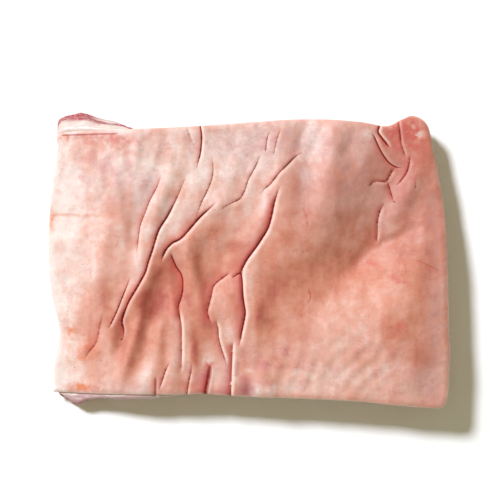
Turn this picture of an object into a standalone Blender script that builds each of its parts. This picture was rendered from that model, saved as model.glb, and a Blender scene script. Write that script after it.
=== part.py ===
"""Pork belly slab: a whole boneless belly with its skin on, lying skin side up.

It is one piece of meat, so it is one closed solid: wrinkled skin on top, cut sides that show
the layers as shallow steps, and a flat underside with the hollows that the ribs left.
Lengths are in millimetres until the mesh is made, which is in metres. X runs along the slab,
Y across it and Z up. The origin is on the board, under the middle of the slab.
"""

import math
from dataclasses import dataclass

import bpy
import numpy as np
from mathutils.geometry import delaunay_2d_cdt

MM = 0.001

# Driving sizes of the slab
LENGTH = 330.0
WIDTH = 240.0
RIND = 3.0
RIND_SLOPE = 0.5
SHOULDER_REACH = 11.0
SHOULDER_DROP = 5.5
UNDERCUT = 1.4
FOOT_RADIUS = 6.0

# Thickness at the four corners and how much more the middle has
THICK_BACK_LEFT = 37.0
THICK_BACK_RIGHT = 27.0
THICK_FRONT_LEFT = 34.0
THICK_FRONT_RIGHT = 40.0
CROWN = 3.0

# The left end thins out over this length, by this much
LEFT_FALL_LENGTH = 85.0
LEFT_FALL = 14.0

# Hollows that the ribs left in the underside, which lie nearly across the slab
RIB_PITCH = 28.0
RIB_HOLLOW_DEPTH = 2.2
RIB_HOLLOW_WIDTH = 14.0
RIB_COUNT = 9
RIB_FIRST_X = -112.0
RIB_SLANT = math.radians(9.0)
RIB_FRONT_Y = -34.0
RIB_FRONT_SWAY = 9.0
RIB_BACK_Y = 88.0
RIB_RUN_OUT = 26.0

# A lobe starts where the edge is this share of half the width from the middle line
LOBE_FROM = 0.55
LOBE_FULL = 0.85

# The layers of the cut side wander up and down by shares of its height, and in and out
LAYER_WANDER = 0.14
LAYER_FINE_WANDER = 0.08
SIDE_WANDER = 0.5

# Fineness of the mesh
EDGE_STEP = 5.9
FOLD_STEP = 5.0
SKIN_STEP = 6.7
SHOULDER_STEPS = 4
FOLD_ROWS = (2.4, 7.0)
LEAST_GAP = 2.1
CORE_INSET = 45.0

# The edge of the skin seen from above, from the back left corner round by the back
SKIN_EDGE = (
    (-153, 106), (-104, 106), (-39, 109), (43, 114), (90, 113), (114, 110), (127, 115),
    (137, 117), (147, 109), (152, 92), (160, 50), (164, 0), (164, -50), (165, -95),
    (162, -113), (153, -119), (125, -117), (80, -113), (0, -110), (-60, -109),
    (-152, -108), (-160, -103), (-160, -80), (-156, -56), (-163, -22), (-165, 18),
    (-163, 48), (-160, 72), (-157, 94),
)


@dataclass(frozen=True)
class Fold:
    """A wrinkle of the skin, from its back end to its front end.

    Depth is at its middle. The skin rolls into it over the widths left and right, and the
    wrinkle fades out over the lengths back and front, where 0 lets it run on to its end.
    """

    name: str
    route: tuple
    depth: float
    left: float
    right: float
    back: float = 18.0
    front: float = 18.0


@dataclass(frozen=True)
class Swell:
    """A soft hill in the skin, or a hollow where the height is below zero."""

    name: str
    x: float
    y: float
    length: float
    width: float
    turn: float
    height: float


@dataclass(frozen=True)
class Lobe:
    """A stretch of the cut side where the flesh squeezes out past the skin."""

    name: str
    x: float
    length: float
    reach: float
    side: int


FOLDS = (
    Fold("main", ((27, 64), (21, 42), (12, 21), (0, 1), (-4, -10), (-4, -30), (-1, -43), (-5, -58),
                  (-7, -71)), 6.5, 14, 6, 26, 20),
    Fold("long_left", ((-45, 76), (-53, 64), (-65, 38), (-76, 15), (-86, -9), (-96, -34), (-103, -49),
                       (-104, -66)), 4.4, 8, 7, 30, 24),
    Fold("second", ((-21, 52), (-39, 35), (-55, 18), (-68, 9), (-72, -2)), 4.0, 10, 6, 16, 16),
    Fold("middle_left", ((-63, 5), (-54, -10), (-53, -24), (-57, -36), (-54, -58), (-55, -93)),
         4.6, 15, 5, 16, 22),
    Fold("pocket_rim", ((-8, -6), (-22, -15), (-29, -25), (-33, -40), (-29, -53)), 3.6, 8, 5, 12, 14),
    Fold("pocket_inner", ((-26, -43), (-24, -58), (-17, -80)), 2.6, 6, 5, 12, 12),
    Fold("lower_long", ((-10, -64), (-13, -80), (-14, -108)), 3.0, 7, 5, 12, 0),
    Fold("lower_wide", ((-29, -81), (-33, -95), (-35, -109)), 3.0, 8, 6, 10, 0),
    Fold("lower_thin", ((-45, -86), (-48, -108)), 1.6, 5, 4, 10, 0),
    Fold("lower_lit", ((-64, -86), (-71, -105)), 1.8, 5, 5, 10, 8),
    Fold("left_top", ((-78, 60), (-83, 43), (-87, 27)), 1.6, 6, 4, 12, 12),
    Fold("left_middle", ((-97, -12), (-104, -34), (-113, -54)), 1.8, 6, 4, 14, 12),
    Fold("left_low", ((-117, -41), (-122, -57), (-128, -72)), 1.8, 6, 5, 12, 12),
    Fold("back_edge", ((-39, 109), (-38, 94), (-42, 72)), 2.6, 7, 5, 0, 14),
    Fold("back_middle", ((-28, 88), (-29, 66), (-40, 40)), 1.9, 7, 5, 14, 16),
    Fold("back_short", ((18, 107), (14, 86)), 1.4, 5, 4, 8, 10),
    Fold("upper_middle", ((10, 87), (1, 67), (-13, 47)), 2.2, 7, 5, 14, 14),
    Fold("upper_long", ((44, 89), (22, 69), (10, 50)), 2.4, 8, 6, 16, 16),
    Fold("corner_flap", ((110, 111), (107, 105), (119, 90)), 3.0, 6, 5, 0, 10),
    Fold("corner_sweep", ((101, 105), (110, 88), (120, 76), (132, 75)), 2.8, 7, 6, 10, 8),
    Fold("corner_hook", ((135, 87), (131, 72), (121, 62)), 2.0, 5, 5, 8, 8),
    Fold("right_branch", ((121, 75), (112, 65), (98, 57), (84, 60)), 2.4, 6, 6, 6, 12),
    Fold("right_spur", ((114, 65), (120, 46)), 1.8, 6, 5, 4, 8),
    Fold("right_soft", ((112, 50), (107, 34), (107, 18)), 2.2, 8, 7, 12, 10),
    Fold("right_trough", ((146, 29), (124, 21), (106, 14), (91, 0), (74, -18)), 4.4, 20, 9, 20, 44),
)

SWELLS = (
    Swell("left_valley", -103, 6, 56, 9, 78, -3.0),
    Swell("left_ridge", -90, 12, 50, 8, 70, 2.4),
    Swell("back_left_ridge", -62, 54, 34, 9, 66, 3.4),
    Swell("back_ridge", -37, 68, 32, 8, 70, 3.2),
    Swell("upper_ridge", -5, 64, 34, 10, 66, 3.6),
    Swell("middle_trough", -29, 6, 28, 11, 62, -6.0),
    Swell("left_trough", -67, -14, 34, 12, 68, -6.0),
    Swell("front_trough", -99, -56, 26, 10, 72, -4.6),
    Swell("pocket_ridge", -16, -36, 32, 9, 88, 4.4),
    Swell("main_lip", 5, -26, 42, 8, 84, 2.6),
    Swell("inner_valley", 20, -38, 30, 9, 86, -2.4),
    Swell("far_ridge", 52, 84, 54, 22, 82, 8.0),
    Swell("long_slope", 36, 14, 40, 24, 50, 3.4),
    Swell("trough", 104, 12, 62, 26, 32, -10.5),
    Swell("plateau", 104, -42, 58, 40, 14, 7.0),
    Swell("front_ridge", -68, -86, 26, 7, 88, 2.6),
    Swell("front_pleat", -43, -66, 30, 6, 88, 2.6),
    Swell("front_knob", 14, -100, 16, 9, 90, 2.8),
)

LOBES = (
    Lobe("back_left", -137, 48, 14.2, 1),
    Lobe("front_left", -112, 60, 5.4, -1),
    Lobe("front_flap", -134, 17, 3.8, -1),
)

# Steps of the cut side: share of the height, share of a lobe's reach, and how far it stands out
WALL_STEPS = (
    (0.93, 0.22, -1.0),
    (0.74, 0.52, 0.1),
    (0.62, 0.80, -0.9),
    (0.50, 0.98, 0.5),
    (0.38, 1.00, -0.5),
    (0.26, 0.94, 0.6),
    (0.13, 0.84, -0.6),
)

SKIN_PINK = (0.80, 0.47, 0.40, 1.0)


def smooth_route(points, step, closed=False):
    """A Catmull-Rom curve through the points, resampled evenly at about the given step."""
    knots = np.array(points, float)
    if closed:
        framed = np.vstack([knots[-1:], knots, knots[:2]])
    else:
        framed = np.vstack([2 * knots[0] - knots[1], knots, 2 * knots[-1] - knots[-2]])
    t = np.linspace(0, 1, 24, endpoint=False)[:, None]
    pieces = []
    for a, b, c, d in zip(framed, framed[1:], framed[2:], framed[3:]):
        pieces.append(0.5 * (2 * b + (c - a) * t + (2 * a - 5 * b + 4 * c - d) * t**2
                             + (3 * b - a - 3 * c + d) * t**3))
    fine = np.vstack(pieces + [knots[:1] if closed else knots[-1:]])
    along = np.concatenate([[0], np.cumsum(np.hypot(*np.diff(fine, axis=0).T))])
    count = max(2, round(along[-1] / step))
    wanted = np.linspace(0, along[-1], count + 1)
    even = np.column_stack([np.interp(wanted, along, fine[:, k]) for k in (0, 1)])
    return even[:-1] if closed else even


def nearest_on(points, route):
    """For each point: distance to the route, signed below zero on its left, and length along."""
    start, step = route[:-1], np.diff(route, axis=0)
    size = np.hypot(step[:, 0], step[:, 1])
    begin = np.concatenate([[0], np.cumsum(size)[:-1]])
    gap = points[:, None, :] - start[None]
    share = np.clip((gap * step).sum(axis=2) / size**2, 0, 1)
    off = gap - share[..., None] * step
    apart = np.hypot(off[..., 0], off[..., 1])
    best = apart.argmin(axis=1)
    row = np.arange(len(points))
    turn = step[best, 0] * gap[row, best, 1] - step[best, 1] * gap[row, best, 0]
    signed = np.where(turn < 0, -1, 1) * apart[row, best]
    return signed, begin[best] + share[row, best] * size[best]


def smoothstep(value):
    value = np.clip(value, 0, 1)
    return value * value * (3 - 2 * value)


def fold_drop(points, fold):
    """How far the fold lowers the skin: two rounded shoulders that meet in a crease."""
    route = smooth_route(fold.route, FOLD_STEP)
    signed, along = nearest_on(points, route)
    total = np.hypot(*np.diff(route, axis=0).T).sum()
    strength = np.full(len(points), float(fold.depth))
    if fold.back:
        strength *= smoothstep(along / fold.back)
    if fold.front:
        strength *= smoothstep((total - along) / fold.front)
    width = np.where(signed < 0, fold.left, fold.right)
    rise = np.clip(1 - np.abs(signed) / width, 0, 1)
    return strength * (1 - np.sqrt(1 - rise**2))


def swell_height(points, swell):
    turn = math.radians(swell.turn)
    x, y = points[:, 0] - swell.x, points[:, 1] - swell.y
    along = x * math.cos(turn) + y * math.sin(turn)
    across = y * math.cos(turn) - x * math.sin(turn)
    return swell.height * np.exp(-((along / swell.length) ** 2) - (across / swell.width) ** 2)


def body_thickness(points):
    """Thickness without folds: it runs between the corners and is crowned in the middle."""
    u = np.clip(points[:, 0] / LENGTH + 0.5, 0, 1)
    v = np.clip(points[:, 1] / WIDTH + 0.5, 0, 1)
    front = THICK_FRONT_LEFT * (1 - u) + THICK_FRONT_RIGHT * u
    back = THICK_BACK_LEFT * (1 - u) + THICK_BACK_RIGHT * u
    crown = CROWN * np.sqrt(16 * u * (1 - u) * v * (1 - v))
    fall = LEFT_FALL * np.clip(1 - u * LENGTH / LEFT_FALL_LENGTH, 0, 1) ** 2
    return front * (1 - v) + back * v + crown - fall


def skin_height(points):
    """Height of the skin above the board, with its swells and folds."""
    height = body_thickness(points) + sum(swell_height(points, swell) for swell in SWELLS)
    drops = sum(fold_drop(points, fold) ** 3 for fold in FOLDS)
    return height - np.cbrt(drops)


def inward(edge):
    """Unit steps from the edge to the inside: square to the sides, fanned at the corners."""
    core = np.array([LENGTH / 2 - CORE_INSET, WIDTH / 2 - CORE_INSET])
    step = np.clip(edge, -core, core) - edge
    return step / np.hypot(step[:, 0], step[:, 1])[:, None]


def lobe_reach(edge):
    """How far the flesh squeezes out past the skin, along Y, at each point of the edge."""
    reach = np.zeros(len(edge))
    for lobe in LOBES:
        swell = lobe.reach * np.exp(-(((edge[:, 0] - lobe.x) / lobe.length) ** 2))
        out = lobe.side * edge[:, 1] / (WIDTH / 2)
        near = smoothstep((out - LOBE_FROM) / (LOBE_FULL - LOBE_FROM))
        reach += lobe.side * swell * near
    return np.column_stack([np.zeros(len(edge)), reach])


def side_rings(edge):
    """Closed rings of points from the start of the skin's shoulder down to the underside."""
    towards = inward(edge)
    reach = lobe_reach(edge)
    bearing = np.arctan2(edge[:, 1], edge[:, 0])
    rings = []
    for angle in np.linspace(0, math.pi / 2, SHOULDER_STEPS):
        place = edge + towards * SHOULDER_REACH * (1 - math.sin(angle))
        height = skin_height(place) - SHOULDER_DROP * (1 - math.cos(angle))
        rings.append(np.column_stack([place, height]))
    rim = rings[-1][:, 2]
    flesh = rim - RIND
    rings.append(np.column_stack([edge + towards * RIND_SLOPE, flesh]))
    for share, pull, out in WALL_STEPS:
        wander = LAYER_WANDER * np.sin(5 * bearing + 7 * share)
        wander += LAYER_FINE_WANDER * np.sin(11 * bearing - 4 * share)
        height = flesh * (share + wander * share * (1 - share))
        standing = out + SIDE_WANDER * np.sin(9 * bearing + 11 * share)
        place = edge + towards * (UNDERCUT - standing)[:, None] + reach * pull
        rings.append(np.column_stack([place, height]))
    foot = edge + towards * FOOT_RADIUS + reach * WALL_STEPS[-1][1]
    rings.append(np.column_stack([foot, np.zeros(len(edge))]))
    return rings


def inside(points, ring, margin):
    """Which points are inside the closed ring, by at least the margin."""
    start, end = ring, np.roll(ring, -1, axis=0)
    x, y = points[:, None, 0], points[:, None, 1]
    spans = (start[:, 1] > y) != (end[:, 1] > y)
    rise = np.where(end[:, 1] == start[:, 1], 1.0, end[:, 1] - start[:, 1])
    crossing = start[:, 0] + (y - start[:, 1]) * (end[:, 0] - start[:, 0]) / rise
    within = (spans & (x < crossing)).sum(axis=1) % 2 == 1
    far, _ = nearest_on(points, np.vstack([ring, ring[:1]]))
    return within & (np.abs(far) > margin)


def thinned(chosen, extra, gap):
    """The extra points that keep the gap to the chosen ones and to each other."""
    kept = list(chosen)
    added = []
    for point in extra:
        apart = np.hypot(*(np.array(kept) - point).T)
        if apart.min() >= gap:
            kept.append(point)
            added.append(point)
    return np.array(added).reshape(-1, 2)


def fold_points(ring):
    """Crease lines inside the ring, and the rows of points beside them."""
    creases, rows = [], []
    for fold in FOLDS:
        route = smooth_route(fold.route, FOLD_STEP)
        route = route[inside(route, ring, LEAST_GAP)]
        creases.append(route)
        heading = np.gradient(route, axis=0)
        heading /= np.hypot(heading[:, 0], heading[:, 1])[:, None]
        across = np.column_stack([heading[:, 1], -heading[:, 0]])
        for row in FOLD_ROWS:
            rows.append(route + across * row)
            rows.append(route - across * row)
    return creases, np.vstack(rows)


def even_grid(half_length, half_width, step):
    """Points in staggered rows."""
    rows = np.arange(-half_width, half_width, step * math.sqrt(3) / 2)
    columns = np.arange(-half_length, half_length, step)
    x, y = np.meshgrid(columns, rows)
    x = x + np.where(np.arange(len(rows)) % 2, step / 2, 0)[:, None]
    return np.column_stack([x.ravel(), y.ravel()])


def triangulate(ring, lines, loose):
    """Triangles inside the ring, with the lines as edges. The ring's points come first."""
    points = [ring]
    count = len(ring)
    edges = [(i, (i + 1) % count) for i in range(count)]
    for line in lines:
        edges += [(count + i, count + i + 1) for i in range(len(line) - 1)]
        points.append(line)
        count += len(line)
    points.append(loose)
    flat = [tuple(point) for point in np.vstack(points)]
    made, _, faces, origins, _, _ = delaunay_2d_cdt(flat, edges, [], 0, 1e-4, True)
    place = {}
    for index, ids in enumerate(origins):
        if ids and min(ids) < len(ring):
            place[index] = min(ids)
    order = sorted(place, key=place.get)
    rest = [i for i in range(len(made)) if i not in place]
    for new, old in enumerate(rest):
        place[old] = len(ring) + new
    plan = np.array([made[i] for i in order + rest])
    faces = np.array([[place[i] for i in face] for face in faces])
    return plan, faces[inside(plan[faces].mean(axis=1), ring, 0)].tolist()


def skin_sheet(ring):
    """The wrinkled top inside the ring."""
    creases, rows = fold_points(ring)
    chosen = np.vstack([ring] + creases)
    rows = rows[inside(rows, ring, LEAST_GAP)]
    near = thinned(chosen, rows, LEAST_GAP)
    grid = even_grid(LENGTH / 2, WIDTH / 2, SKIN_STEP)
    grid = grid[inside(grid, ring, SKIN_STEP / 2)]
    far = thinned(np.vstack([chosen, near]), grid, SKIN_STEP * 0.62)
    plan, faces = triangulate(ring, creases, np.vstack([near, far]))
    return np.column_stack([plan, skin_height(plan)]), faces


def rib_hollow(points):
    """Height of the underside above the board: zero, but for the hollows of the ribs."""
    share = (points[:, 0] - math.tan(RIB_SLANT) * points[:, 1] - RIB_FIRST_X) / RIB_PITCH
    rib = np.clip(np.round(share), 0, RIB_COUNT - 1)
    across = (share - rib) * RIB_PITCH
    front = RIB_FRONT_Y - RIB_FRONT_SWAY * np.cos(2 * rib)
    along = np.minimum(points[:, 1] - front, RIB_BACK_Y - points[:, 1])
    bowl = np.clip(1 - (2 * across / RIB_HOLLOW_WIDTH) ** 2, 0, 1)
    return RIB_HOLLOW_DEPTH * smoothstep(along / RIB_RUN_OUT) * bowl


def under_sheet(ring):
    """The underside inside the ring, with lines of points along every rib hollow."""
    rows = np.arange(-WIDTH / 2, WIDTH / 2, RIB_PITCH / 2)
    columns = RIB_FIRST_X + RIB_PITCH / 4 * np.arange(-12, 48)
    x, y = np.meshgrid(columns, rows)
    grid = np.column_stack([(x + math.tan(RIB_SLANT) * y).ravel(), y.ravel()])
    grid = grid[inside(grid, ring, 3.0)]
    plan, faces = triangulate(ring, [], grid)
    return np.column_stack([plan, rib_hollow(plan)]), faces


def slab_mesh():
    """Points in millimetres and faces of the closed slab."""
    rings = side_rings(smooth_route(SKIN_EDGE, EDGE_STEP, closed=True)[::-1])
    count = len(rings[0])
    top, top_faces = skin_sheet(rings[0][:, :2])
    under, under_faces = under_sheet(rings[-1][:, :2])
    points = np.vstack(rings + [top[count:], under[count:]])
    faces = []
    for ring in range(len(rings) - 1):
        for i in range(count):
            j = (i + 1) % count
            a, b = ring * count, (ring + 1) * count
            faces.append((a + i, b + i, b + j, a + j))
    after_rings = len(rings) * count
    last = (len(rings) - 1) * count
    for face in top_faces:
        faces.append(tuple(i if i < count else after_rings + i - count for i in face))
    after_top = after_rings + len(top) - count
    for face in under_faces:
        faces.append(tuple(last + i if i < count else after_top + i - count for i in face[::-1]))
    middle = (points[:, :2].min(axis=0) + points[:, :2].max(axis=0)) / 2
    points[:, :2] -= middle
    return points, faces


def skin_material():
    """Pale pink pork skin, moist but not wet."""
    material = bpy.data.materials.new("pork_skin")
    material.use_nodes = True
    shader = material.node_tree.nodes["Principled BSDF"]
    shader.inputs["Base Color"].default_value = SKIN_PINK
    shader.inputs["Roughness"].default_value = 0.42
    shader.inputs["Metallic"].default_value = 0.0
    return material


def main():
    for old in list(bpy.data.objects):
        bpy.data.objects.remove(old, do_unlink=True)
    points, faces = slab_mesh()
    mesh = bpy.data.meshes.new("pork_belly_slab")
    mesh.from_pydata((points * MM).tolist(), [], faces)
    mesh.polygons.foreach_set("use_smooth", [True] * len(mesh.polygons))
    mesh.materials.append(skin_material())
    mesh.update()
    slab = bpy.data.objects.new("pork_belly_slab", mesh)
    bpy.context.scene.collection.objects.link(slab)


main()
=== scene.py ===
"""Looks of the pork belly slab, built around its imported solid.

The slab is dressed as two closed pieces that fit together. The rind is the wrinkled skin with
its rounded shoulder and its cut edge. The flesh is all that lies below it: the cut side, with
its layers of fat and lean, and the underside, with the hollows that the ribs left. Lengths are
in millimetres until a mesh is made, which is in metres. X runs along the slab, Y across it and
Z up, and the origin is on the floor under the middle of the slab.
"""

import logging
import math
from dataclasses import dataclass, field
from enum import Enum
from typing import Any

import bpy
import numpy as np
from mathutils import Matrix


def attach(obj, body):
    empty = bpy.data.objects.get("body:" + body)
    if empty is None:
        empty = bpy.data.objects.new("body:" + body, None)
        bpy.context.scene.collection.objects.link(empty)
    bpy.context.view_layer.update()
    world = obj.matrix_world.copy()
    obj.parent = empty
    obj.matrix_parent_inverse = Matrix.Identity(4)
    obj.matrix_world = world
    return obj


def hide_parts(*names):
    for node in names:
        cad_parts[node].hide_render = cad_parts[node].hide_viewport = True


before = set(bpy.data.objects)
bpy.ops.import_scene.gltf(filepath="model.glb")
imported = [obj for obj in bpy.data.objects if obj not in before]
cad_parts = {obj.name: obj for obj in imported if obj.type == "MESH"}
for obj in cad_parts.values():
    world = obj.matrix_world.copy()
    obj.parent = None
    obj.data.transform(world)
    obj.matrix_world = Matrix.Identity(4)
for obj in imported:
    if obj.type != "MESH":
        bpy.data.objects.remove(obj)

LOG = logging.getLogger("pork_belly_slab")
Array = np.ndarray
Socket = bpy.types.NodeSocket

MM = 0.001
NODE = "pork_belly_slab"
BODY = "root"
GOLDEN_ANGLE = math.pi * (3 - math.sqrt(5))
GOLDEN_SHARE = 0.618

# Squares along and across the slab, and how many of them make the side of one hidden square
COLUMNS = 290
ROWS = 205
HIDDEN_RATIO = 5

# Points worked out between two knots of a route, and the spacing of those kept on a crease
KNOT_SAMPLES = 24
ROUTE_STEP = 1.5

# How far from a crease its line is still read, in half widths of the line
GAP_CLAMP = 8.0


def smoothstep(value: Array | float) -> Array:
    """Eases from 0 to 1 as three t squared less two t cubed."""
    t = np.clip(value, 0.0, 1.0)
    return t * t * (3.0 - 2.0 * t)


def path_length(points: Array) -> Array:
    """Adds up the steps of a path, from 0 at its first point."""
    return np.concatenate([[0], np.cumsum(np.hypot(*np.diff(points, axis=0).T))])


def evenly(points: Array, count: int) -> Array:
    """Resamples a path into even steps.

    Args:
        points: the points of the path in order.
        count: how many steps it gets.

    Returns:
        The points between the steps, with both ends of the path.
    """
    along = path_length(points)
    wanted = np.linspace(0, along[-1], count + 1)
    return np.column_stack([np.interp(wanted, along, points[:, k]) for k in (0, 1)])


def smooth_route(points: tuple, step: float, closed: bool = False) -> Array:
    """Draws a Catmull-Rom curve through points and resamples it evenly.

    Args:
        points: the knots, as pairs of X and Y.
        step: the wanted distance between points of the result.
        closed: whether the curve comes back to its first knot.

    Returns:
        The points of the curve, one row each, without a repeated last point if closed.
    """
    knots = np.array(points, float)
    if closed:
        framed = np.vstack([knots[-1:], knots, knots[:2]])
    else:
        framed = np.vstack([2 * knots[0] - knots[1], knots, 2 * knots[-1] - knots[-2]])
    t = np.linspace(0, 1, KNOT_SAMPLES, endpoint=False)[None, :, None]
    a, b, c, d = (framed[k : len(framed) - 3 + k, None, :] for k in range(4))
    fine = 0.5 * (2 * b + (c - a) * t + (2 * a - 5 * b + 4 * c - d) * t**2
                  + (3 * b - a - 3 * c + d) * t**3)
    fine = np.vstack([fine.reshape(-1, 2), knots[:1] if closed else knots[-1:]])
    even = evenly(fine, max(2, round(path_length(fine)[-1] / step)))
    return even[:-1] if closed else even


def nearest_on(points: Array, route: Array) -> tuple[Array, Array, Array]:
    """Finds where each point is beside a route, by dropping it square onto each straight piece.

    Args:
        points: plan points, one row each.
        route: the points of the route in order.

    Returns:
        The distance to the route, below zero on the right of travel, the length along the
        route, and the nearest place on it.
    """
    start, step = route[:-1], np.diff(route, axis=0)
    size = np.hypot(step[:, 0], step[:, 1])
    begin = np.concatenate([[0], np.cumsum(size)[:-1]])
    gap = points[:, None, :] - start[None]
    share = np.clip((gap * step).sum(axis=2) / size**2, 0, 1)
    off = gap - share[..., None] * step
    best = np.hypot(off[..., 0], off[..., 1]).argmin(axis=1)
    row = np.arange(len(points))
    turn = step[best, 0] * gap[row, best, 1] - step[best, 1] * gap[row, best, 0]
    apart = np.hypot(off[row, best, 0], off[row, best, 1])
    place = start[best] + share[row, best, None] * step[best]
    return np.where(turn < 0, -1, 1) * apart, begin[best] + share[row, best] * size[best], place


@dataclass(frozen=True)
class Oval:
    """A soft oval seen from above, along a line that is turned by so many degrees."""

    x: float
    y: float
    length: float
    width: float
    turn: float

    def placed(self, points: Array) -> tuple[Array, Array]:
        """Finds each point's place along and across the oval's line.

        Args:
            points: plan points, one row each.

        Returns:
            The place along and the place across, from the middle of the oval.
        """
        angle = math.radians(self.turn)
        east, north = points[:, 0] - self.x, points[:, 1] - self.y
        along = east * math.cos(angle) + north * math.sin(angle)
        return along, north * math.cos(angle) - east * math.sin(angle)

    def bell(self, points: Array) -> Array:
        """Falls from 1 as a bell curve both ways, to e to the minus 1 at length or width."""
        along, across = self.placed(points)
        return np.exp(-((along / self.length) ** 2) - (across / self.width) ** 2)


@dataclass(frozen=True)
class Swell(Oval):
    """A soft hill in the skin, or a hollow where the height is below zero."""

    height: float

    def height_at(self, points: Array) -> Array:
        """Gives the height that the swell adds at each point."""
        return self.height * self.bell(points)


@dataclass(frozen=True)
class Pleat(Oval):
    """A group of shallow parallel ridges in the skin, a pitch apart, that sway a little."""

    pitch: float
    height: float
    sway: float = 0.16
    sway_pace: float = 3.1

    def height_at(self, points: Array) -> Array:
        """Waves across the line as a cosine, whose start sways along it as a sine.

        Args:
            points: plan points, one row each.

        Returns:
            The height that the pleat adds at each point.
        """
        along, across = self.placed(points)
        bend = self.sway * self.pitch * np.sin(self.sway_pace * along / self.length)
        return self.height * self.bell(points) * np.cos(2 * math.pi * (across + bend) / self.pitch)


@dataclass(frozen=True)
class Body:
    """The slab without its wrinkles.

    It has a thickness at each corner and a crown in the middle. Towards the left end it loses
    fall, eased over fall_length.
    """

    length: float = 330.0
    width: float = 240.0
    back_left: float = 37.0
    back_right: float = 29.0
    front_left: float = 31.0
    front_right: float = 41.0
    crown: float = 3.0
    fall_length: float = 80.0
    fall: float = 17.0
    core_inset: float = 45.0

    def thickness(self, points: Array) -> Array:
        """Blends the corner heights over X and Y, adds the crown and takes off the left fall.

        The crown is the root of sixteen u v (1 - u) (1 - v), so it is full in the middle.

        Args:
            points: plan points, one row each.

        Returns:
            The height of the skin above the floor before any swell or crease.
        """
        u = np.clip(points[:, 0] / self.length + 0.5, 0, 1)
        v = np.clip(points[:, 1] / self.width + 0.5, 0, 1)
        front = self.front_left * (1 - u) + self.front_right * u
        back = self.back_left * (1 - u) + self.back_right * u
        crown = self.crown * np.sqrt(16 * u * (1 - u) * v * (1 - v))
        fall = self.fall * smoothstep(1 - u * self.length / self.fall_length)
        return front * (1 - v) + back * v + crown - fall

    def inward(self, edge: Array) -> Array:
        """Points from the edge at the nearest place of an inner box, as steps of length one."""
        core = np.array([self.length / 2 - self.core_inset, self.width / 2 - self.core_inset])
        step = np.clip(edge, -core, core) - edge
        return step / np.hypot(step[:, 0], step[:, 1])[:, None]


@dataclass(frozen=True)
class Ripple:
    """Irregular small relief: waves of nearly one length that run in spread directions."""

    wavelength: float
    height: float
    seed: int
    waves: int = 9
    spread: float = 0.25
    start: float = 2.4

    def height_at(self, points: Array) -> Array:
        """Adds up the sines of all the waves, each with its own direction, length and start.

        The directions follow the golden angle. How tight a wave is lies within the spread of
        the main one, by the golden share.

        Args:
            points: plan points, one row each.

        Returns:
            The height that the ripple adds at each point.
        """
        order = np.arange(self.waves)
        turn = GOLDEN_ANGLE * (order + self.seed)
        tight = 1 - self.spread + 2 * self.spread * np.mod(GOLDEN_SHARE * (order + self.seed), 1)
        phase = points @ (np.stack([np.cos(turn), np.sin(turn)]) * (2 * math.pi / self.wavelength * tight))
        waves = np.sin(phase + self.start * order * self.seed)
        return self.height * waves.sum(axis=1) / math.sqrt(self.waves)


@dataclass(frozen=True)
class Crease:
    """A wrinkle of the skin, from its back end to its front end.

    The skin drops by depth at its middle and rolls into it over the widths left and right. It
    fades out over the lengths back and front, where 0 lets it run on to its end. A lip is the
    roll of skin that stands up on its right. It takes the half width of a dark red line painted
    in its fold as shade, how dark that painted shade is, and how far red painted as shade spreads
    on its shaded left side. A soft crease has no such line: the skin only dips and rises again.
    """

    name: str
    route: tuple
    depth: float
    left: float
    right: float
    back: float = 18.0
    front: float = 18.0
    lip: float = 0.0
    line: float = 0.45
    crease_shade: float = 0.8
    red_shade_reach: float = 3.0
    soft: bool = False

    def beside(self, points: Array, reach: float) -> tuple[Array, Array, Array, Array]:
        """Measures the points that lie near the crease.

        Args:
            points: plan points, one row each.
            reach: how far beyond the box round the route a point still counts.

        Returns:
            The rows of the points that count, their signed distance, below zero on the left
            as seen from the front, their nearest place on the crease, and how strong the
            crease is there, from 0 to 1.
        """
        route = smooth_route(self.route, ROUTE_STEP)
        low, high = route.min(axis=0) - reach, route.max(axis=0) + reach
        near = np.flatnonzero(((points > low) & (points < high)).all(axis=1))
        signed, along, place = nearest_on(points[near], route)
        strength = np.ones(len(near))
        if self.back:
            strength *= smoothstep(along / self.back)
        if self.front:
            strength *= smoothstep((path_length(route)[-1] - along) / self.front)
        return near, signed, place, strength


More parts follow.
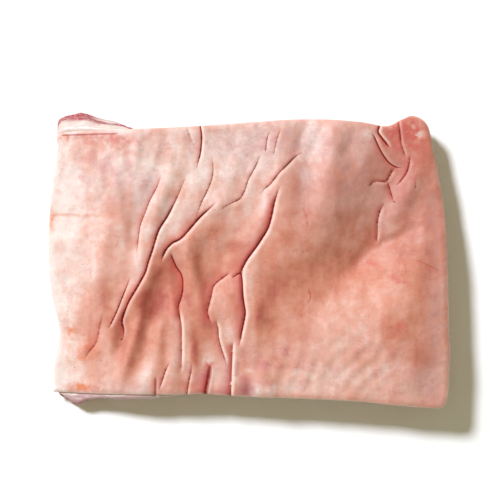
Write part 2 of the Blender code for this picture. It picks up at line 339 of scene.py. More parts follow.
@dataclass(frozen=True)
class SkinRelief:
    """Everything that shapes the skin: its body, swells, pleats, ripples and creases.

    A lip is highest at lip_peak from the line and gone at lip_end times that. From lip_full up
    it makes the right side of its crease as steep as the left.
    """

    body: Body
    swells: tuple[Swell, ...]
    pleats: tuple[Pleat, ...]
    ripples: tuple[Ripple, ...]
    creases: tuple[Crease, ...]
    lip_peak: float = 2.4
    lip_end: float = 4.0
    lip_full: float = 0.3
    # Least share of the painted shade line's width and darkness where its crease fades out, and how they
    # follow it
    thinnest: float = 0.05
    width_power: float = 0.5
    crease_shade_power: float = 0.6
    # Red painted as shade on a crease's shaded left flank: depth at which it is full, its width on the right
    # side and how fast it falls
    red_depth: float = 2.8
    red_right: float = 0.5
    red_power: float = 1.3
    # Pale painted as a highlight on the lit lip: height at which it is full, its middle and its widths left
    # and right of that
    pale_lip: float = 0.4
    pale_middle: float = 0.9
    pale_left: float = 0.5
    pale_right: float = 1.7
    # Creases that points are moved onto, and the rest of the way that is left
    snap_depth: float = 0.25
    snap_strength: float = 0.1
    snap_rest: float = 0.03

    def smooth_height(self, points: Array) -> Array:
        """Adds the swells to the body, with no crease."""
        return self.body.thickness(points) + sum(swell.height_at(points) for swell in self.swells)

    def height(self, points: Array) -> Array:
        """Works out the height of the skin above the floor.

        A crease takes off depth times one less the root of one less r squared, where r runs
        from 0 at the end of its width to 1 at its line. Its right side is r squared instead,
        as far as it has no lip, and a soft crease eases both ways as a smoothstep. Where
        creases meet, the cube root of the sum of their cubes keeps the deeper one. A lip is q
        times e to half of one less q squared, where q is 1 at its peak.

        Args:
            points: plan points, one row each.

        Returns:
            The height at each point.
        """
        height = self.smooth_height(points)
        for small in (*self.pleats, *self.ripples):
            height = height + small.height_at(points)
        cubes = np.zeros(len(points))
        for crease in self.creases:
            reach = max(crease.left, crease.right, self.lip_end * self.lip_peak)
            near, signed, _, strength = crease.beside(points, reach)
            side = np.where(signed < 0, crease.left, crease.right)
            rise = np.clip(1 - np.abs(signed) / side, 0, 1)
            steep = np.where(signed < 0, 1.0, min(1.0, crease.lip / self.lip_full))
            fall = steep * (1 - np.sqrt(1 - rise**2)) + (1 - steep) * rise**2
            if crease.soft:
                fall = smoothstep(rise)
            cubes[near] += (crease.depth * strength * fall) ** 3
            share = np.clip(signed / self.lip_peak, 0, None)
            height[near] += crease.lip * strength * share * np.exp((1 - share**2) / 2)
        return height - np.cbrt(cubes)

    def lines(self, points: Array) -> tuple[Array, Array]:
        """Finds the dark line that each point belongs to.

        Args:
            points: plan points, one row each.

        Returns:
            The distance to the nearest line in half widths of that line, up to a limit, and
            how dark that line, painted as shade down the fold, is there.
        """
        # Each crease's dark line is painted shade down its fold
        gap = np.full(len(points), GAP_CLAMP)
        crease_shade = np.zeros(len(points))
        for crease in self.creases:
            if crease.soft:
                continue
            near, signed, _, strength = crease.beside(points, GAP_CLAMP * crease.line)
            width = crease.line * np.clip(strength, self.thinnest, 1) ** self.width_power
            share = np.minimum(np.abs(signed) / width, GAP_CLAMP)
            closer = share < gap[near]
            gap[near[closer]] = share[closer]
            crease_shade[near[closer]] = (crease.crease_shade * strength**self.crease_shade_power)[closer]
        return gap, crease_shade

    def flanks(self, points: Array) -> tuple[Array, Array]:
        """Tells which points lie on the red left side of a crease and which on its pale lip.

        The red is painted shade on the shaded left side, and falls off from the line as e to the
        minus distance to its power. The pale is a painted highlight on the lit lip, a bell curve.

        Args:
            points: plan points, one row each.

        Returns:
            The red painted as shade and the pale painted as a highlight, each from 0 to about 1.
        """
        red_shade, pale_highlight = np.zeros(len(points)), np.zeros(len(points))
        for crease in self.creases:
            if crease.soft:
                continue
            near, signed, _, strength = crease.beside(points, 3 * crease.red_shade_reach)
            force = min(1.0, crease.depth / self.red_depth) * strength
            side = np.where(signed < 0, crease.red_shade_reach, self.red_right)
            fade = np.exp(-np.abs(signed / side) ** self.red_power)
            red_shade[near] = np.maximum(red_shade[near], force * fade)
            off = signed - self.pale_middle
            off = off / np.where(off < 0, self.pale_left, self.pale_right)
            share = min(1.0, crease.lip / self.pale_lip) * strength
            pale_highlight[near] = np.maximum(pale_highlight[near], share * np.exp(-(off**2)))
        return red_shade, pale_highlight

    def snapped(self, points: Array, reach: float) -> Array:
        """Moves each point that is nearer than reach to a crease nearly onto the crease's line.

        A small rest of the way is left, so that two points never meet in one place.

        Args:
            points: plan points, one row each.
            reach: the longest move.

        Returns:
            The points, with those near a crease moved.
        """
        placed = points.copy()
        nearest = np.full(len(points), reach)
        for crease in self.creases:
            if crease.soft or crease.depth < self.snap_depth:
                continue
            near, signed, place, strength = crease.beside(points, reach)
            closer = (np.abs(signed) < nearest[near]) & (strength > self.snap_strength)
            nearest[near[closer]] = np.abs(signed[closer])
            moved = near[closer]
            placed[moved] = place[closer] + self.snap_rest * (points[moved] - place[closer])
        return placed


class Tint(Enum):
    """What the skin carries in patches. The value names the mesh attribute."""

    # The tone patches also paint shading, darker or lighter by how slopes face the light
    TONE_AND_SHADING = "tone_and_shading"
    # Some bruise patches paint shade on slopes that face away from the light
    BRUISE_AND_SHADE = "bruise_and_shade"
    LILAC = "lilac"
    FLUSH = "flush"
    STAIN = "stain"
    BLOTCH = "blotch"
    SPOT = "spot"


@dataclass(frozen=True)
class Lobe:
    """A stretch of the cut side where the flesh squeezes out past the skin.

    It is at the back where side is 1 and at the front where side is -1. It comes out by reach
    and goes to the left by spread, and rounds out over the share of the height drop. Rise lifts
    its layers, tinge turns its fat lilac, and meat covers it with lean up to the share of the
    height meat_top. The higher its power, the flatter it is along X.
    """

    name: str
    x: float
    length: float
    reach: float
    side: int
    drop: float
    rise: float = 0.0
    tinge: float = 0.0
    meat: float = 0.0
    meat_top: float = 0.90
    spread: float = 0.0
    power: int = 2
    # Share of half the slab's width at which a lobe starts and is full
    start: float = 0.55
    full: float = 0.85
    # Left corner, the length over which every lobe fades there, and its loss near the floor
    corner: float = -159.5
    corner_fade: float = 4.0
    back_in: float = 0.3

    def bell(self, edge: Array, half_width: float) -> Array:
        """Tells how much of the lobe shows at each point of the edge, from 0 to 1.

        Args:
            edge: the edge of the skin.
            half_width: half the width of the slab.

        Returns:
            A bell curve along X that fades near the left corner and away from its side.
        """
        swell = np.exp(-(np.abs((edge[:, 0] - self.x) / self.length) ** self.power))
        near = smoothstep((self.side * edge[:, 1] / half_width - self.start) / (self.full - self.start))
        return swell * near * smoothstep((edge[:, 0] - self.corner) / self.corner_fade)

    def pull(self, share: float) -> float:
        """Rounds out as a quarter of an ellipse over the drop, and back in below half way.

        Args:
            share: the height on the side, from 0 at the floor to 1 under the skin.

        Returns:
            How much of the reach is used, from 0 to 1.
        """
        down = min(1.0, (1 - share) / self.drop)
        return math.sqrt(1 - (1 - down) ** 2) * (1 - self.back_in * max(0.0, 0.5 - share))


SKIN_EDGE = (
    (-153, 107), (-104, 109), (-39, 112), (43, 117.5), (90, 115.5), (114, 112), (127, 117.5),
    (137, 120.5), (148, 113), (153, 92), (161, 50), (164, 0), (165, -50), (166, -72), (165, -98),
    (163, -113), (156, -119), (125, -117), (80, -113), (0, -110), (-36, -107.8), (-60, -108.4),
    (-152, -108), (-160, -103), (-160, -80), (-156, -56), (-163, -22), (-165, 18), (-163, 48),
    (-160, 72), (-157, 94),
)

# Middle of the slab's box in the coordinates of these tables
MIDDLE = (0.5, 1.4)

# Corners of the slab in the order that the rings run: front left, front right, back right, back left
CORNERS = ((-158, -106), (163, -112), (146, 110), (-157, 104))

# X, Y, length, width, turn and height of each
SWELLS = {
    "left_valley": (-96, 6, 56, 9, 78, -3), "left_ridge": (-85, 18, 44, 8, 70, 1.7),
    "back_left_ridge": (-46, 49, 34, 9, 66, 1.5), "back_ridge": (-15, 66, 32, 8, 70, 1.9),
    "upper_ridge": (3, 64, 34, 10, 66, 1.4), "middle_trough": (-19, 2, 28, 13, 62, -3),
    "left_trough": (-67, -17, 33, 11.5, 70, -4.8), "front_trough": (-101, -62, 20, 9, 72, -4.2),
    "pocket_ridge": (-12, -28, 20, 9, 90, 2), "main_lip": (5, -28, 38, 5.5, 86, 0.8),
    "far_ridge": (67, 84, 50, 10.5, 77, 2.5), "long_slope": (36, 14, 40, 24, 50, 2.6),
    "trough": (104, 12, 62, 26, 36, -9), "plateau": (106, -54, 58, 44, 14, 7),
    "front_ridge": (-61, -80, 28, 6, 88, 2.2), "front_pleat": (-43, -66, 30, 6, 88, 1.3),
    "front_knob": (14, -100, 16, 9, 90, 2.8), "left_pleat": (-120, 2, 34, 6.5, 86, 2.2),
    "left_small": (-106, 50, 20, 5, 94, 2.2), "left_low_small": (-99, 26, 12, 5, 110, 1.3),
    "long_side": (-69, 55, 22, 7, 68, 2.8), "long_roll": (-83, -19, 17, 5, 65, 1.6),
    "front_left_roll": (-92.5, -61, 26, 5, 74, 2.2),
    "front_left_low_roll": (-101, -84, 17, 5, 72, 1.4),
    "front_left_dip": (-82.5, -64, 36, 7, 70, -2.9), "front_left_ridge": (-72.5, -56, 34, 5, 87, 2.4),
    "front_left_trough": (-101.6, -62, 20, 4.5, 84, -1.9), "middle_side": (-62, -32, 18, 5, 102, 1.8),
    "middle_roll": (-49, -44, 24, 5, 90, 1.5), "pocket_back": (-47, 15, 11, 5, 64, 1.9),
    "pocket_left": (-48, -6, 23, 6, 106, 3), "pocket_top": (-33, 30, 8, 4, 20, 0.6),
    "main_side": (13, 38, 26, 5.5, 72, 1.6), "back_dip": (44, 99, 18, 6, 80, -2.4),
    "back_pleat_one": (-108, 91, 15, 3.5, 85, 0.9), "back_pleat_two": (-90, 92, 15, 3.5, 83, 1),
    "back_pleat_three": (-73, 94, 13, 3.5, 80, 0.9), "back_pleat_four": (-53, 96, 12, 3.5, 86, 0.7),
    "back_pleat_five": (-62, 86, 14, 4, 82, 1), "hook_roll": (133, 60, 24, 8, 68, 3.6),
    "soft_roll": (117, 33, 15, 7, 84, 2.2), "far_dip": (84, 89, 15, 8, 85, -2),
    "trough_edge": (93, 2, 26, 9, 48, -2.6), "far_slope": (64, 66, 60, 38, 60, 9),
    "near_ridge": (27, 76, 40, 9, 88, 1.6), "far_trough": (118, 70, 40, 22, 85, -5),
    "right_roll": (128, -10, 110, 22, 90, 4.2), "middle_dip": (-53, -18, 18, 8, 102, -4.5),
    "far_valley": (52, 74, 42, 10, 79, -4.6), "main_low_side": (-4, 14, 16, 7, 54, 2.2),
    "hook_dip": (120, 66, 16, 8, 80, -2.4), "corner_roll": (136, -90, 18, 9, 60, 1.5),
    "far_low_ridge": (72, 54, 20, 9, 84, 1.6), "left_top_side": (-88.5, 57, 20, 6, 72, 1.8),
    "middle_back_side": (-63, -12, 14, 6, 108, 1.8), "middle_fold": (-23, 46, 14, 6, 25, 1.6),
    "pocket_fill": (-8, -46, 20, 7, 92, 1.4), "right_rise": (175, 22, 40, 45, 90, 3.5),
    "right_margin": (145, 25, 30, 8, 90, 2), "main_low_lip": (10.3, -42, 16, 5, 88, 1.6),
    "pocket_dip": (-25.5, -17, 9, 6, 100, -2.6),
}

# X, Y, length, width, turn, pitch and height of each
PLEATS = {
    "back_left_streaks": (-108, 66, 60, 44, 84, 13, 0.22),
    "front_left_streaks": (-122, -62, 44, 30, 86, 11, 0.28),
    "front_right_ridges": (92, -84, 30, 26, 50, 11, 0.3),
    "front_middle_ridges": (36, -92, 26, 34, 80, 12, 0.36),
    "back_middle_streaks": (60, 92, 30, 60, 70, 12, 0.16),
}

RIPPLES = (Ripple(34.0, 0.32, 3), Ripple(15.0, 0.14, 5), Ripple(6.5, 0.05, 8))

# Name, route, depth, width left and right, length of the fade at the back and front end, lip,
# half width and darkness of the line painted as shade in the fold, and reach of the red painted
# as shade on the left
CREASES = (
    Crease("main", (
        (28, 66), (25, 58), (22, 48), (20, 38), (17, 28), (12, 19.5), (7, 12), (1, 4), (-3, -3),
        (-4.7, -8), (-4, -17), (-3.6, -26), (-2.6, -34), (-1.6, -41), (-2.6, -48), (-4.5, -57),
        (-6, -65), (-8, -71),
    ), 2.8, 3.2, 6, 24, 16, 0.6, 0.58, 1, 5.5),
    Crease("back_edge", (
        (-38.5, 112), (-37.4, 105), (-37.4, 98), (-38.4, 89), (-40.5, 81), (-41.8, 74),
    ), 1.3, 1.6, 4, 0, 14, 0.3, 0.5, 1, 3.5),
    Crease("long_left", (
        (-44.8, 77), (-49.8, 70.5), (-53.8, 62), (-57, 54), (-64.5, 39), (-72, 27), (-75.5, 17),
        (-77.5, 10), (-80.8, 0.6), (-83.2, -7.6), (-87.3, -15.7), (-92.2, -24), (-97, -32),
        (-100.4, -40), (-102.9, -48.5), (-101.6, -55), (-102, -61), (-103.7, -66.5),
    ), 2, 1.6, 3.5, 56, 16, 0.25, 0.6, 1, 3.5),
    Crease("second", (
        (-21.5, 53), (-30, 44.8), (-38, 37.5), (-43, 32), (-49, 25), (-55, 19), (-61, 16), (-66, 11),
        (-69, 5), (-71, -1),
    ), 2, 1.8, 5, 26, 10, 0.3, 0.6, 1, 5),
    Crease("middle_left", (
        (-63, 8.7), (-61, 2.8), (-58, -3.8), (-54.6, -8.8), (-53, -14.4), (-53, -24), (-54.6, -30.5),
        (-56.2, -35.4), (-55.4, -43), (-54, -52),
    ), 2.2, 5, 4, 6, 10, 0.05, 0.5, 1, 6),
    Crease("pocket_rim", (
        (-13, -6.8), (-17.8, -11.1), (-23.5, -15.2), (-27.6, -19.3), (-29.4, -27.2), (-31, -33.7),
        (-32.5, -40.3), (-31, -46), (-28, -52.6),
    ), 1.8, 4.5, 4, 8, 10, 0.15, 0.4, 0.75, 5),
    Crease("pocket_inner", (
        (-26, -46), (-24, -54), (-23.4, -62), (-21, -71), (-18, -80), (-16.5, -86),
    ), 1.3, 2.2, 4, 8, 10, 0.4, 0.38, 0.75, 4),
    Crease("lower_long", (
        (-12, -64), (-12.9, -85), (-13.8, -111),
    ), 2.2, 5.5, 4, 6, 0, 0.65, 0.45, 0.7, 6),
    Crease("lower_wide", (
        (-30, -82.5), (-30.8, -91), (-32.4, -99), (-34.6, -111),
    ), 2.8, 4.5, 4, 7, 0, 0.4, 1.5, 0.7, 6),
    Crease("lower_thin", (
        (-45, -80), (-46, -89), (-48, -99), (-50, -111),
    ), 1.2, 2, 3, 14, 0, 0.15, 0.36, 0.8, 3),
    Crease("lower_lit", (
        (-63, -80), (-67, -89), (-70, -98), (-73, -106),
    ), 1.2, 2, 3, 10, 8, 0.2, 0.38, 0.8, 3),
    Crease("left_top", (
        (-70, 74), (-73.7, 62), (-79.5, 51), (-83.6, 40.5), (-87.6, 30), (-89.5, 17), (-91, 4),
    ), 1.4, 5.5, 4, 14, 14, 0.2, 0.34, 0.65, 2.5),
    Crease("left_middle", (
        (-95, -9), (-98.5, -19), (-103, -30), (-107, -40), (-111, -48.5), (-114.5, -55),
    ), 1, 1.6, 3, 18, 6, 0.2, 0.4, 1, 2.5),
    Crease("left_low", (
        (-118, -40), (-121, -52), (-124, -65), (-128, -71), (-132, -76), (-136, -82),
    ), 1.5, 6, 7, 16, 14, 0, 0.2, 0.2, 5),
    # The rim line is a dark line painted as the shadow under the skin's back left rim
    Crease("rim_line", (
        (-155, 105), (-130, 105.4), (-103, 105.6),
    ), 0.2, 1.5, 1.5, 3, 8, 0, 0.55, 0.6, 1),
    Crease("back_side", ((-48.4, 108), (-46, 101), (-43.6, 95)), 0.9, 3.5, 4, 0, 8, 0.1, 0.2, 0.2),
    Crease("back_middle", (
        (-30, 91), (-28, 78), (-29, 68), (-33, 58), (-37, 50), (-40, 42), (-43, 34),
    ), 0.7, 1.6, 4, 20, 20, 0.1, 0.3, 0.8, 2.5),
    Crease("back_short", (
        (18.6, 108), (16.4, 102), (15.4, 94), (14.6, 88),
    ), 0.6, 1.4, 3, 6, 6, 0.1, 0.34, 0.7, 2),
    Crease("back_hair", (
        (27.4, 110), (24.4, 101), (22.6, 93), (21, 86),
    ), 0.5, 1.4, 3, 6, 6, 0.1, 0.34, 0.5, 2),
    Crease("upper_middle", (
        (12, 91), (7, 79), (1, 68), (-2, 59), (-6, 52), (-12, 49), (-19, 45), (-26, 40),
    ), 0.7, 1.6, 5, 14, 20, 0.1, 0.3, 0.8, 2.5),
    Crease("upper_long", (
        (47, 91), (40, 87), (33, 80), (26, 73), (19, 64), (14, 60), (10, 53),
    ), 1.1, 2, 6, 14, 14, 0.2, 0.36, 0.85, 3),
    Crease("corner_flap", (
        (109.8, 118), (108.8, 113), (107.3, 107), (109.8, 103), (113.8, 98), (117.8, 93),
    ), 1.8, 2, 3, 0, 6, 0.35, 0.65, 1, 3),
    Crease("corner_sweep", (
        (101.6, 107.5), (105, 101), (108, 94.5), (112, 87.5), (117, 81.5), (123, 78.2), (129.5, 77.5),
    ), 1.5, 2.4, 4, 8, 8, 0.15, 0.46, 1, 3),
    Crease("corner_hook", (
        (133.5, 89), (133, 81), (131, 74), (127, 68), (122, 62),
    ), 1.2, 2.2, 4, 10, 8, 0.1, 0.36, 0.75, 3),
    Crease("corner_tip", (
        (124.3, 115.5), (125.6, 105), (126.6, 96.5), (128.6, 90.5), (130.6, 84.5),
    ), 1, 2, 3, 0, 6, 0.1, 0.34, 0.6, 3),
    Crease("right_branch", (
        (120.8, 77.6), (117.3, 71.6), (114.3, 66.6), (109.3, 66.6), (105.3, 66.6), (101.3, 64.6),
        (97.3, 58.6),
    ), 1.4, 3.2, 4, 3, 16, 0.1, 0.28, 0.75, 2.5),
    Crease("right_spur", (
        (115.2, 66.6), (117.2, 60.6), (119.2, 53.6), (120.8, 47.6),
    ), 1.8, 4.5, 4, 3, 8, 0.05, 0.32, 0.9, 3.5),
    Crease("right_soft", (
        (113, 50), (109, 42), (107, 33), (107, 24), (106, 15),
    ), 1.6, 2.6, 9, 10, 6, 0.2, 0.36, 0.6, 3),
    Crease("right_fold", (
        (146, 32), (138, 28), (129, 24), (121, 19), (113, 17), (106, 16),
    ), 1.5, 7, 7, 12, 6, soft=True),
    Crease("right_trough", (
        (107, 17), (102, 10), (95, 2), (87, -6), (79, -12), (69, -19),
    ), 1.3, 10, 10, 8, 30, soft=True),
    Crease("pocket_branch", ((-3, -7), (-7, -9), (-13, -13)), 1.2, 2, 3, 4, 4, 0, 0.42, 0.9, 2),
    Crease("lower_dent", ((-75, -92), (-75, -101), (-75.4, -110)), 1.3, 4, 3, 6, 0, 0.1, 0.8, 0.55, 3),
    Crease("right_nick", ((138, 69), (138, 60)), 0.5, 3, 3, 4, 4, 0, 0.22, 0.3),
    Crease("right_scratch", (
        (134, 3), (143, 0), (151, -4), (160, -8),
    ), 0.5, 2.5, 3, 10, 6, 0, 0.25, 0.4),
    Crease("middle_hair", ((50, -20), (52, -29), (48, -34)), 0.3, 2, 2, 4, 4, 0, 0.22, 0.6),
    Crease("middle_fine", ((45, 46), (48, 38), (50, 27)), 0.3, 2, 2, 4, 4, 0, 0.2, 0.35),
    Crease("middle_low", (
        (-56.2, -35.4), (-55.4, -43), (-53.9, -52.6), (-53.8, -65), (-53.8, -81), (-54.6, -93.5),
    ), 1.7, 2.2, 4, 12, 16, 0.6, 0.36, 0.6, 3),
    Crease("horseshoe", (
        (-26, 18.6), (-31, 17), (-35, 9), (-36.6, 0.6), (-35.8, -8), (-31, -17), (-27, -26),
    ), 2.3, 9, 14, 10, 12, soft=True),
)

LOBES = (
    Lobe("back_left", -131, 32, 10.0, 1, 0.6, rise=0.2, tinge=0.2, meat=0.9, meat_top=0.55, power=4),
    Lobe("back_left_roll", -137.5, 12, 6.4, 1, 0.6, meat=1.1, meat_top=0.88),
    Lobe("back_left_end", -153, 8, 4.8, 1, 0.6, spread=3.0, meat=0.6, meat_top=0.80),
    Lobe("front_left", -108, 50, 5.6, -1, 0.10, rise=0.1, tinge=0.7, meat=0.5, meat_top=0.86, power=4),
    Lobe("front_flap", -143, 10, 6.0, -1, 0.14, tinge=0.3, meat=0.8, meat_top=0.95),
)

# Rows of X, Y, length, width, turn and strength
PATCHES = {
    # Tone from cream to brick; many patches also paint shading, darker on slopes that face away from the
    # light and lighter on some that face it
    Tint.TONE_AND_SHADING: (
        (-10, 96, 90, 24, 0, -0.18), (50, 96, 44, 24, 0, -0.22), (0, 68, 70, 20, 0, -0.14),
        (36, 90, 16, 10, 86, 0.4), (54, 102, 14, 8, 86, -0.35), (69, 64, 26, 11, 84, 0.4),
        (93, 92, 16, 12, 0, -0.25), (39, 63, 11, 5, 88, 0.3), (118, 86, 24, 30, 0, 0.25),
        (-100, 48, 22, 10, 70, 0.18), (-112, 78, 26, 14, 0, -0.2), (-148, 52, 50, 8, 90, -0.15),
        (-148, -40, 60, 8, 90, 0.08), (-128, -5, 20, 14, 90, -0.15), (-62, -28, 70, 46, 0, 0.45),
        (-62, 31, 16, 9, 60, -0.3), (-82, -30, 20, 14, 70, 0.4), (-76, -40, 14, 8, 50, 0.3),
        (-118, -52, 24, 20, 70, 0.3), (-125, -86, 30, 11, 90, 0.5), (-85, -64, 36, 7, 70, 0.45),
        (-104, -66, 22, 6, 86, 0.45), (-58, -68, 24, 8, 90, -0.25), (-60, -102, 14, 8, 0, 0.5),
        (-29, -106, 20, 7, 0, 0.55), (-43, 8, 24, 6, 100, 0.4), (-27, 27, 14, 6, 0, 0.35),
        (-34, -36, 28, 6, 95, 0.5), (-16, 4, 22, 16, 0, 0.25), (-9, -45, 24, 6, 90, 0.15),
        (1, -8, 24, 7, 78, -0.3), (30, 19, 16, 9, 40, 0.4), (20, -44, 30, 11, 90, 0.35),
        (84, -6, 44, 13, 38, 0.28), (96, -58, 60, 34, 0, -0.14), (84, -86, 60, 20, 0, -0.34),
        (152, 0, 90, 9, 90, 0.12), (129, 7, 12, 9, 20, 0.3), (125, -56, 14, 16, 0, 0.3),
        (141, -78, 12, 10, 60, 0.45), (-125, 98, 30, 16, 0, 0.1), (138, -34, 50, 16, 90, 0.12),
        (-50, -32, 16, 6, 80, 0.45), (-45, -65, 18, 6, 95, 0.4), (30, -16, 18, 12, 0, 0.35),
        (51, -8, 14, 8, 0, 0.1), (51, -42, 14, 10, 0, -0.3), (3, 62, 22, 7, 70, -0.3),
        (-74, -92, 18, 7, 80, 0.35), (8, -30, 14, 5, 90, 0.3), (80, -38, 18, 14, 40, -0.2),
        (-90, -6, 20, 8, 66, -0.4), (-94, 76, 16, 12, 0, -0.3), (-136, -22, 20, 6, 80, 0.2),
        (-119, -25, 8, 7, 0, 0.35), (-50, 44, 12, 8, 0, -0.3), (56, 114, 40, 5, 0, -0.25),
        (70, 48, 22, 10, 0, -0.2), (-72, -4, 14, 8, 70, 0.35), (-80, -54, 14, 5, 84, -0.35),
        (-82, -90, 11, 8, 80, -0.28), (-93, -68, 22, 4, 74, 0.4), (-29, -73, 9, 6, 90, -0.1),
        (-14, -56, 9, 5, 90, -0.35), (100, 105, 8, 5, 0, -0.3), (-50, 107, 12, 4, 0, -0.3),
        (140, 105, 5, 4, 0, -0.8), (-102, 108, 10, 4, 0, -0.2), (-120, -58, 6, 5, 0, -0.25),
        (-148, -76, 8, 8, 0, -0.25), (-112, -82, 8, 7, 0, -0.2), (-125, 80, 20, 12, 0, 0.15),
        (-121, -8, 14, 6, 90, 0.25), (-84, -29, 8, 5, 60, 0.4), (-77, 21, 8, 3, 65, 0.3),
        (-16, 72, 20, 10, 70, -0.2), (13, 44, 14, 4, 80, -0.4), (52, 68, 9, 8, 0, -0.2),
        (108, 6, 16, 10, 0, -0.2), (137, 20, 8, 8, 0, -0.2), (-43, -73, 12, 4, 90, 0.3),
        (-68, -78, 10, 4, 90, 0.4), (-57, -89, 6, 4, 90, 0.3), (-47, -100, 8, 4, 0, 0.4),
        (-92, -86, 14, 6, 60, 0.3), (-97, -100, 10, 5, 0, 0.2), (10, -50, 16, 3.5, 90, 0.3),
        (43, -42, 7, 6, 0, 0.4), (28, -103, 22, 6, 0, -0.3), (55, -90, 10, 8, 0, -0.15),
        (-143, -106, 10, 6, 0, 0.3), (-108, 39, 6, 6, 0, 0.3), (-134, 55, 8, 6, 0, -0.2),
        (-104, 8, 18, 4, 90, -0.2), (-132, -4, 10, 4, 90, -0.2), (-91, -14, 14, 4, 60, -0.3),
        (-59, 26, 6, 5, 0, -0.25), (80, -62, 24, 10, 0, -0.2), (60, 10, 30, 10, 40, 0.1),
        (0, -106, 170, 14, 0, -0.14), (-42, -80, 14, 10, 0, -0.12), (-42, -72, 16, 3.5, 90, 0.25),
        (1.5, -88.5, 2.4, 3.5, 70, -0.45), (-12, 15, 9, 6, 0, 0.35), (-141, 91, 12, 9, 0, 0.35),
        (-141, -1, 8, 8, 0, 0.25), (109, 54, 14, 9, 0, -0.35), (113, 30, 10, 8, 0, -0.3),
        (42, 80, 18, 24, 0, -0.25), (-84, 26, 9, 7, 0, -0.35), (-93, 8, 10, 7, 0, -0.2),
        (-125, -3, 5, 16, 0, -0.25), (-150, -38, 6, 10, 0, -0.3), (-31, 22, 16, 6, 70, 0.25),
        (116, -9, 16, 6, 0, 0.3), (94, -78, 12, 6, 0, 0.35), (-3, -88, 4, 18, 0, 0.3),
        (14, -93, 5, 10, 0, 0.25), (-55, -90, 4, 10, 0, 0.25), (-28, -50, 4, 7, 0, 0.3),
        (-10, -36, 4, 8, 0, 0.3), (-98, -11, 5, 7, 0, 0.3), (-57, 41, 5, 6, 0, 0.3),
        (101, 105, 8, 8, 0, -0.35), (-97, 107, 12, 4, 0, -0.3), (157, -85, 10, 24, 0, -0.2),
        (32, -43, 7, 8, 0, -0.3), (7, -104, 3, 6, 0, -0.3), (0, -102, 170, 14, 0, -0.08),
        (4, -38, 4, 14, 0, -0.25), (-48, -68, 2.5, 18, 0, -0.4),
    ),
    # Bruises, and painted shade: some faint patches darken slopes that face away from the light
    Tint.BRUISE_AND_SHADE: (
        (92, 62, 62, 40, 0, 0.1), (120, 44, 22, 26, 0, 0.14), (142, 12, 14, 30, 90, 0.1),
        (-97, 48, 24, 28, 0, 0.12), (47, 64, 12, 28, 0, 0.16), (-120, -30, 6, 10, 0, 0.16),
        (-20, 40, 30, 14, 50, 0.06), (132, 60, 16, 20, 0, 0.14), (-98, -9, 6, 9, 0, 0.1),
        (-12, 14, 10, 6, 0, 0.1), (-76, 62, 7, 16, 0, 0.14), (-18, 72, 6, 14, 0, 0.1),
        (109, 32, 5, 18, 0, 0.14), (137, 29, 8, 10, 0, 0.14), (97, 4, 6, 8, 0, 0.12),
        (-101, -66, 6, 20, 0, 0.12), (-122, -12, 8, 14, 0, 0.1), (150, -103, 10, 16, 0, 0.1),
        (131, -87, 6, 6, 0, 0.12), (-59, -8, 5, 8, 0, 0.12), (0, 104, 170, 14, 0, 0.06),
        (132, 85, 8, 14, 0, 0.1), (40, 104, 20, 10, 90, 0.05), (44, 62, 9, 18, 0, 0.1),
        (130, 78, 6, 8, 0, 0.14), (84, 56, 10, 12, 0, 0.08), (-30, -22, 4.5, 7, 0, 0.2),
        (-1, -104, 6, 5.5, 80, 0.75), (-34, -99, 10, 4, 80, 0.5),
    ),
    Tint.LILAC: (
        (5, 90, 30, 24, 0, 0.25), (-118, 68, 26, 20, 0, 0.3), (144, -98, 12, 14, 0, 0.35),
        (-17, -97, 14, 3.5, 88, 0.6), (-86, 60, 16, 8, 72, 0.2), (78, 62, 24, 30, 0, 0.22),
        (7, -104, 3, 6, 0, 0.5), (20, 98, 60, 14, 0, 0.35), (90, 90, 30, 24, 0, 0.3),
        (153, 40, 30, 6, 95, 0.35), (154, -50, 60, 9, 90, 0.4), (-110, -104, 50, 5, 0, 0.4),
    ),
    Tint.FLUSH: (
        (-120, -30, 6, 7, 0, 0.35), (132, 90, 8, 8, 0, 0.25), (130, 112, 12, 4, 0, 0.3),
        (-30, -84, 4, 3.5, 0, 0.6), (-1, -102, 6, 7, 0, 0.5), (-126, 104.6, 34, 2.2, 0, 0.5),
        (134, 104, 18, 10, -30, 0.9), (140, 84, 24, 12, 100, 0.3), (-100, 96, 14, 10, 0, 0.35),
        (103, -1, 9, 2.5, -35, 0.8), (124.5, -15, 6, 2.6, -20, 1.1), (125.5, -52, 5, 4, 0, 0.8),
        (118, 104, 13, 10, 0, 0.6), (133, 111, 14, 7, 0, 0.9), (126, 92, 8, 12, 0, 0.4),
        # This row and the one at -126, 104.6 paint a red-brown line under the back left rim: partly a flush,
        # partly painted shadow
        (-120, 101, 24, 4, 0, 0.55),
    ),
    Tint.STAIN: (
        (-150, 104, 6, 4, 0, 0.9), (-144, 39, 26, 1.4, -2, 0.6), (-148, -72, 12, 5, 90, 0.4),
        (-137, -103, 9, 4, 0, 1.3), (-134, -73, 14, 5, 60, 1), (-145, -57, 6, 4, 90, 1),
        (96, -28, 46, 28, 20, 0.22), (-162, 36, 12, 2.5, 90, 0.9),
    ),
    Tint.BLOTCH: (
        (20, -90, 50, 16, 0, 0.35), (-30, -94, 34, 14, 0, 0.35), (110, -84, 40, 26, 0, 0.25),
        (-112, 80, 40, 24, 0, 0.4),
    ),
    Tint.SPOT: (
        (-2, -77, 5, 3.5, 80, 1.1), (17, -84, 7, 3.5, -10, 1.1), (32, -73, 6, 4.5, 0, 0.9),
        (16, -98, 7, 4, 0, 0.55), (48, -62, 8, 4, 0, 0.3), (-22, -106, 20, 4, 0, 0.55),
        (-31, -84, 3, 4, 0, 1.2),
    ),
}


